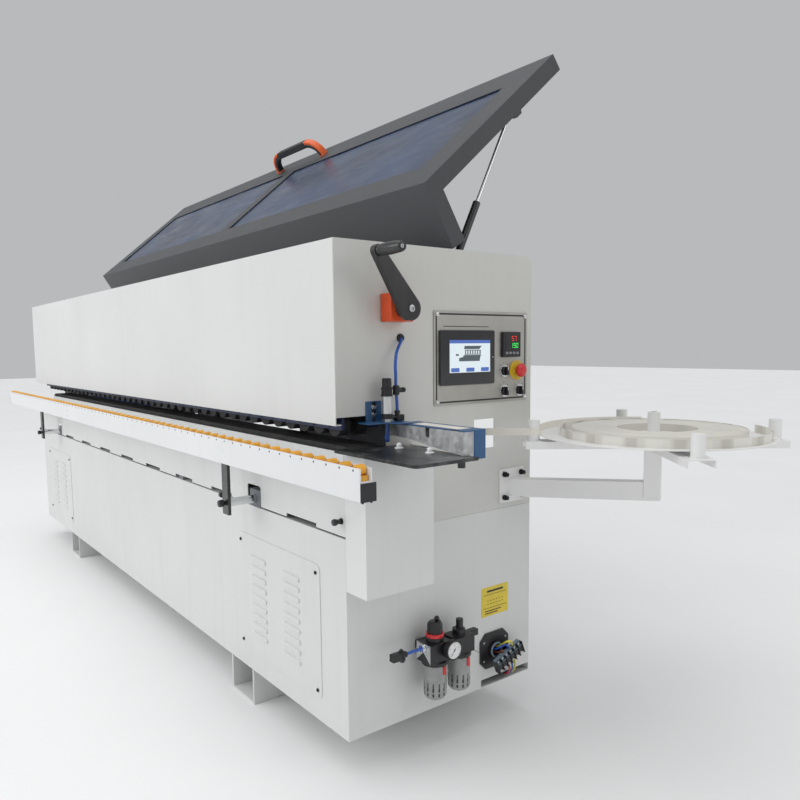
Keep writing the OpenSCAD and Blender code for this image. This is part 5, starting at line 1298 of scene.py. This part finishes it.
def rear_doors():
    """Four louvred service doors with hinges and locks on the rear of the cabinet."""
    doors, metalwork, slots = bmesh.new(), bmesh.new(), bmesh.new()
    y = REAR_Y / MM
    z0, z1 = low("cabinet").z / MM + 36, SEAM_Z / MM - 36
    back = place_by((0, y, 0), (-1, 0, 0), (0, 0, 1))
    for x0, x1 in REAR_DOOR_X:
        prism(doors, rounded_outline(x0, z0, x1, z1, 8, 4), 2.0, back, 0.8)
        lock = back @ upright(x1 - 42, (z0 + z1) / 2, 2)
        turn_into(metalwork, [(0, -0.5), (13, -0.5), (13, 2), (11, 3.4), (5, 3.4), (5, 1.6), (0, 1.6)],
                  lock, 28)
        for z in (z0 + 70, z1 - 70):
            hinge = back @ upright(x0 + 4, z - 26, 6)
            turn_into(metalwork, [(0, 0), (5, 0), (5, 52), (0, 52)],
                      hinge @ Matrix.Rotation(-pi / 2, 4, "X"), 20)
        # The louvre slots are dark sheets on the door face: painted shade in the openings.
        for i in range(LOUVRES):
            z = (z0 + z1) / 2 - 100 + LOUVRE_PITCH * i
            prism(slots, rounded_outline((x0 + x1) / 2 - 70, z, (x0 + x1) / 2 + 70, z + 7, 3.4, 4), 2.4,
                  back, 0.3, segments=1)
    finish_piece("rear_doors", doors, LIGHT, "base", SLOTS["cabinet"])
    finish_piece("rear_door_hardware", metalwork, BLACK_STEEL, "base", SLOTS["fasteners"])
    finish_piece("rear_door_louvre_painted_shade", slots, PRINT_AND_SLOT_SHADE, "base", SLOTS["touch_screen"])


# ---- surroundings ----
CAMERA = Vector((3.13245, -1.30673, 1.12238))
HEADING, DIP, ROLL = radians(52.377), radians(5.695), radians(0.601)


def camera():
    """Camera at the operator's infeed corner."""
    data = bpy.data.cameras.new("view")
    data.sensor_width = 36
    data.lens = 722.63 / 800 * 36
    data.shift_x = 0.003425
    data.shift_y = 0.0241
    made = bpy.data.objects.new("view", data)
    bpy.context.scene.collection.objects.link(made)
    ahead = Vector((-sin(HEADING) * cos(DIP), cos(HEADING) * cos(DIP), -sin(DIP)))
    right = Vector((cos(HEADING), sin(HEADING), 0))
    turn = Matrix((right, right.cross(ahead), -ahead)).transposed()
    turn = Matrix.Rotation(ROLL, 3, ahead) @ turn
    made.matrix_world = Matrix.Translation(CAMERA) @ turn.to_4x4()
    bpy.context.scene.camera = made


def floor():
    """Pale floor, part of the stage."""
    bm = bmesh.new()
    bmesh.ops.create_grid(bm, x_segments=2, y_segments=2, size=30)
    mesh = bpy.data.meshes.new("floor")
    bm.to_mesh(mesh)
    bm.free()
    made = bpy.data.objects.new("floor", mesh)
    bpy.context.scene.collection.objects.link(made)
    ground, tree, skin = shader("floor_pale")
    tone = clouds(tree, object_space(tree), 0.8, 4.0)
    tree.links.new(ramp(tree, tone, [(0.3, (0.86, 0.86, 0.86, 1)), (0.7, (0.89, 0.89, 0.89, 1))]),
                   skin.inputs["Base Color"])
    skin.inputs["Roughness"].default_value = 0.7
    mesh.materials.append(ground)


def area(name, spot, aim, size, power, colour=(1, 1, 1)):
    data = bpy.data.lights.new(name, "AREA")
    data.shape = "RECTANGLE"
    data.size, data.size_y = size
    data.energy = power
    data.color = colour
    made = bpy.data.objects.new(name, data)
    made.location = spot
    made.rotation_euler = (Vector(aim) - Vector(spot)).to_track_quat("-Z", "Y").to_euler()
    bpy.context.scene.collection.objects.link(made)


def lights():
    """Even sky, soft overhead light and two area lights."""
    world = bpy.data.worlds.new("studio")
    world.use_nodes = True
    sky = world.node_tree.nodes["Background"]
    sky.inputs["Color"].default_value = (0.96, 0.98, 1.0, 1)
    sky.inputs["Strength"].default_value = 0.5
    bpy.context.scene.world = world
    # soft overhead light that falls evenly on the machine and the floor
    overhead = bpy.data.lights.new("overhead", "SUN")
    overhead.energy = 1.25
    overhead.angle = radians(70)
    lamp = bpy.data.objects.new("overhead", overhead)
    lamp.rotation_euler = (radians(12), radians(-4), 0)
    bpy.context.scene.collection.objects.link(lamp)
    area("key", (-1.5, -5.5, 3.2), (0, 0, 1.0), (5.0, 3.0), 110)
    area("side", (5.5, 2.4, 3.0), (1.6, 0, 1.0), (2.5, 2.0), 22, (1.0, 0.97, 0.93))
    bpy.context.scene.view_settings.view_transform = "Standard"


camera()
lights()
floor()
hose()
gland()
body_panels()
driven_parts()
rail()
rail_rods()
lid()
handle()
struts()
crank()
counter()
control_panel()
touch_screen()
temperature_controller()
stop_and_switches()
infeed()
stopper()
tray()
air_unit()
label_plate()
small_hardware()
rear_doors()
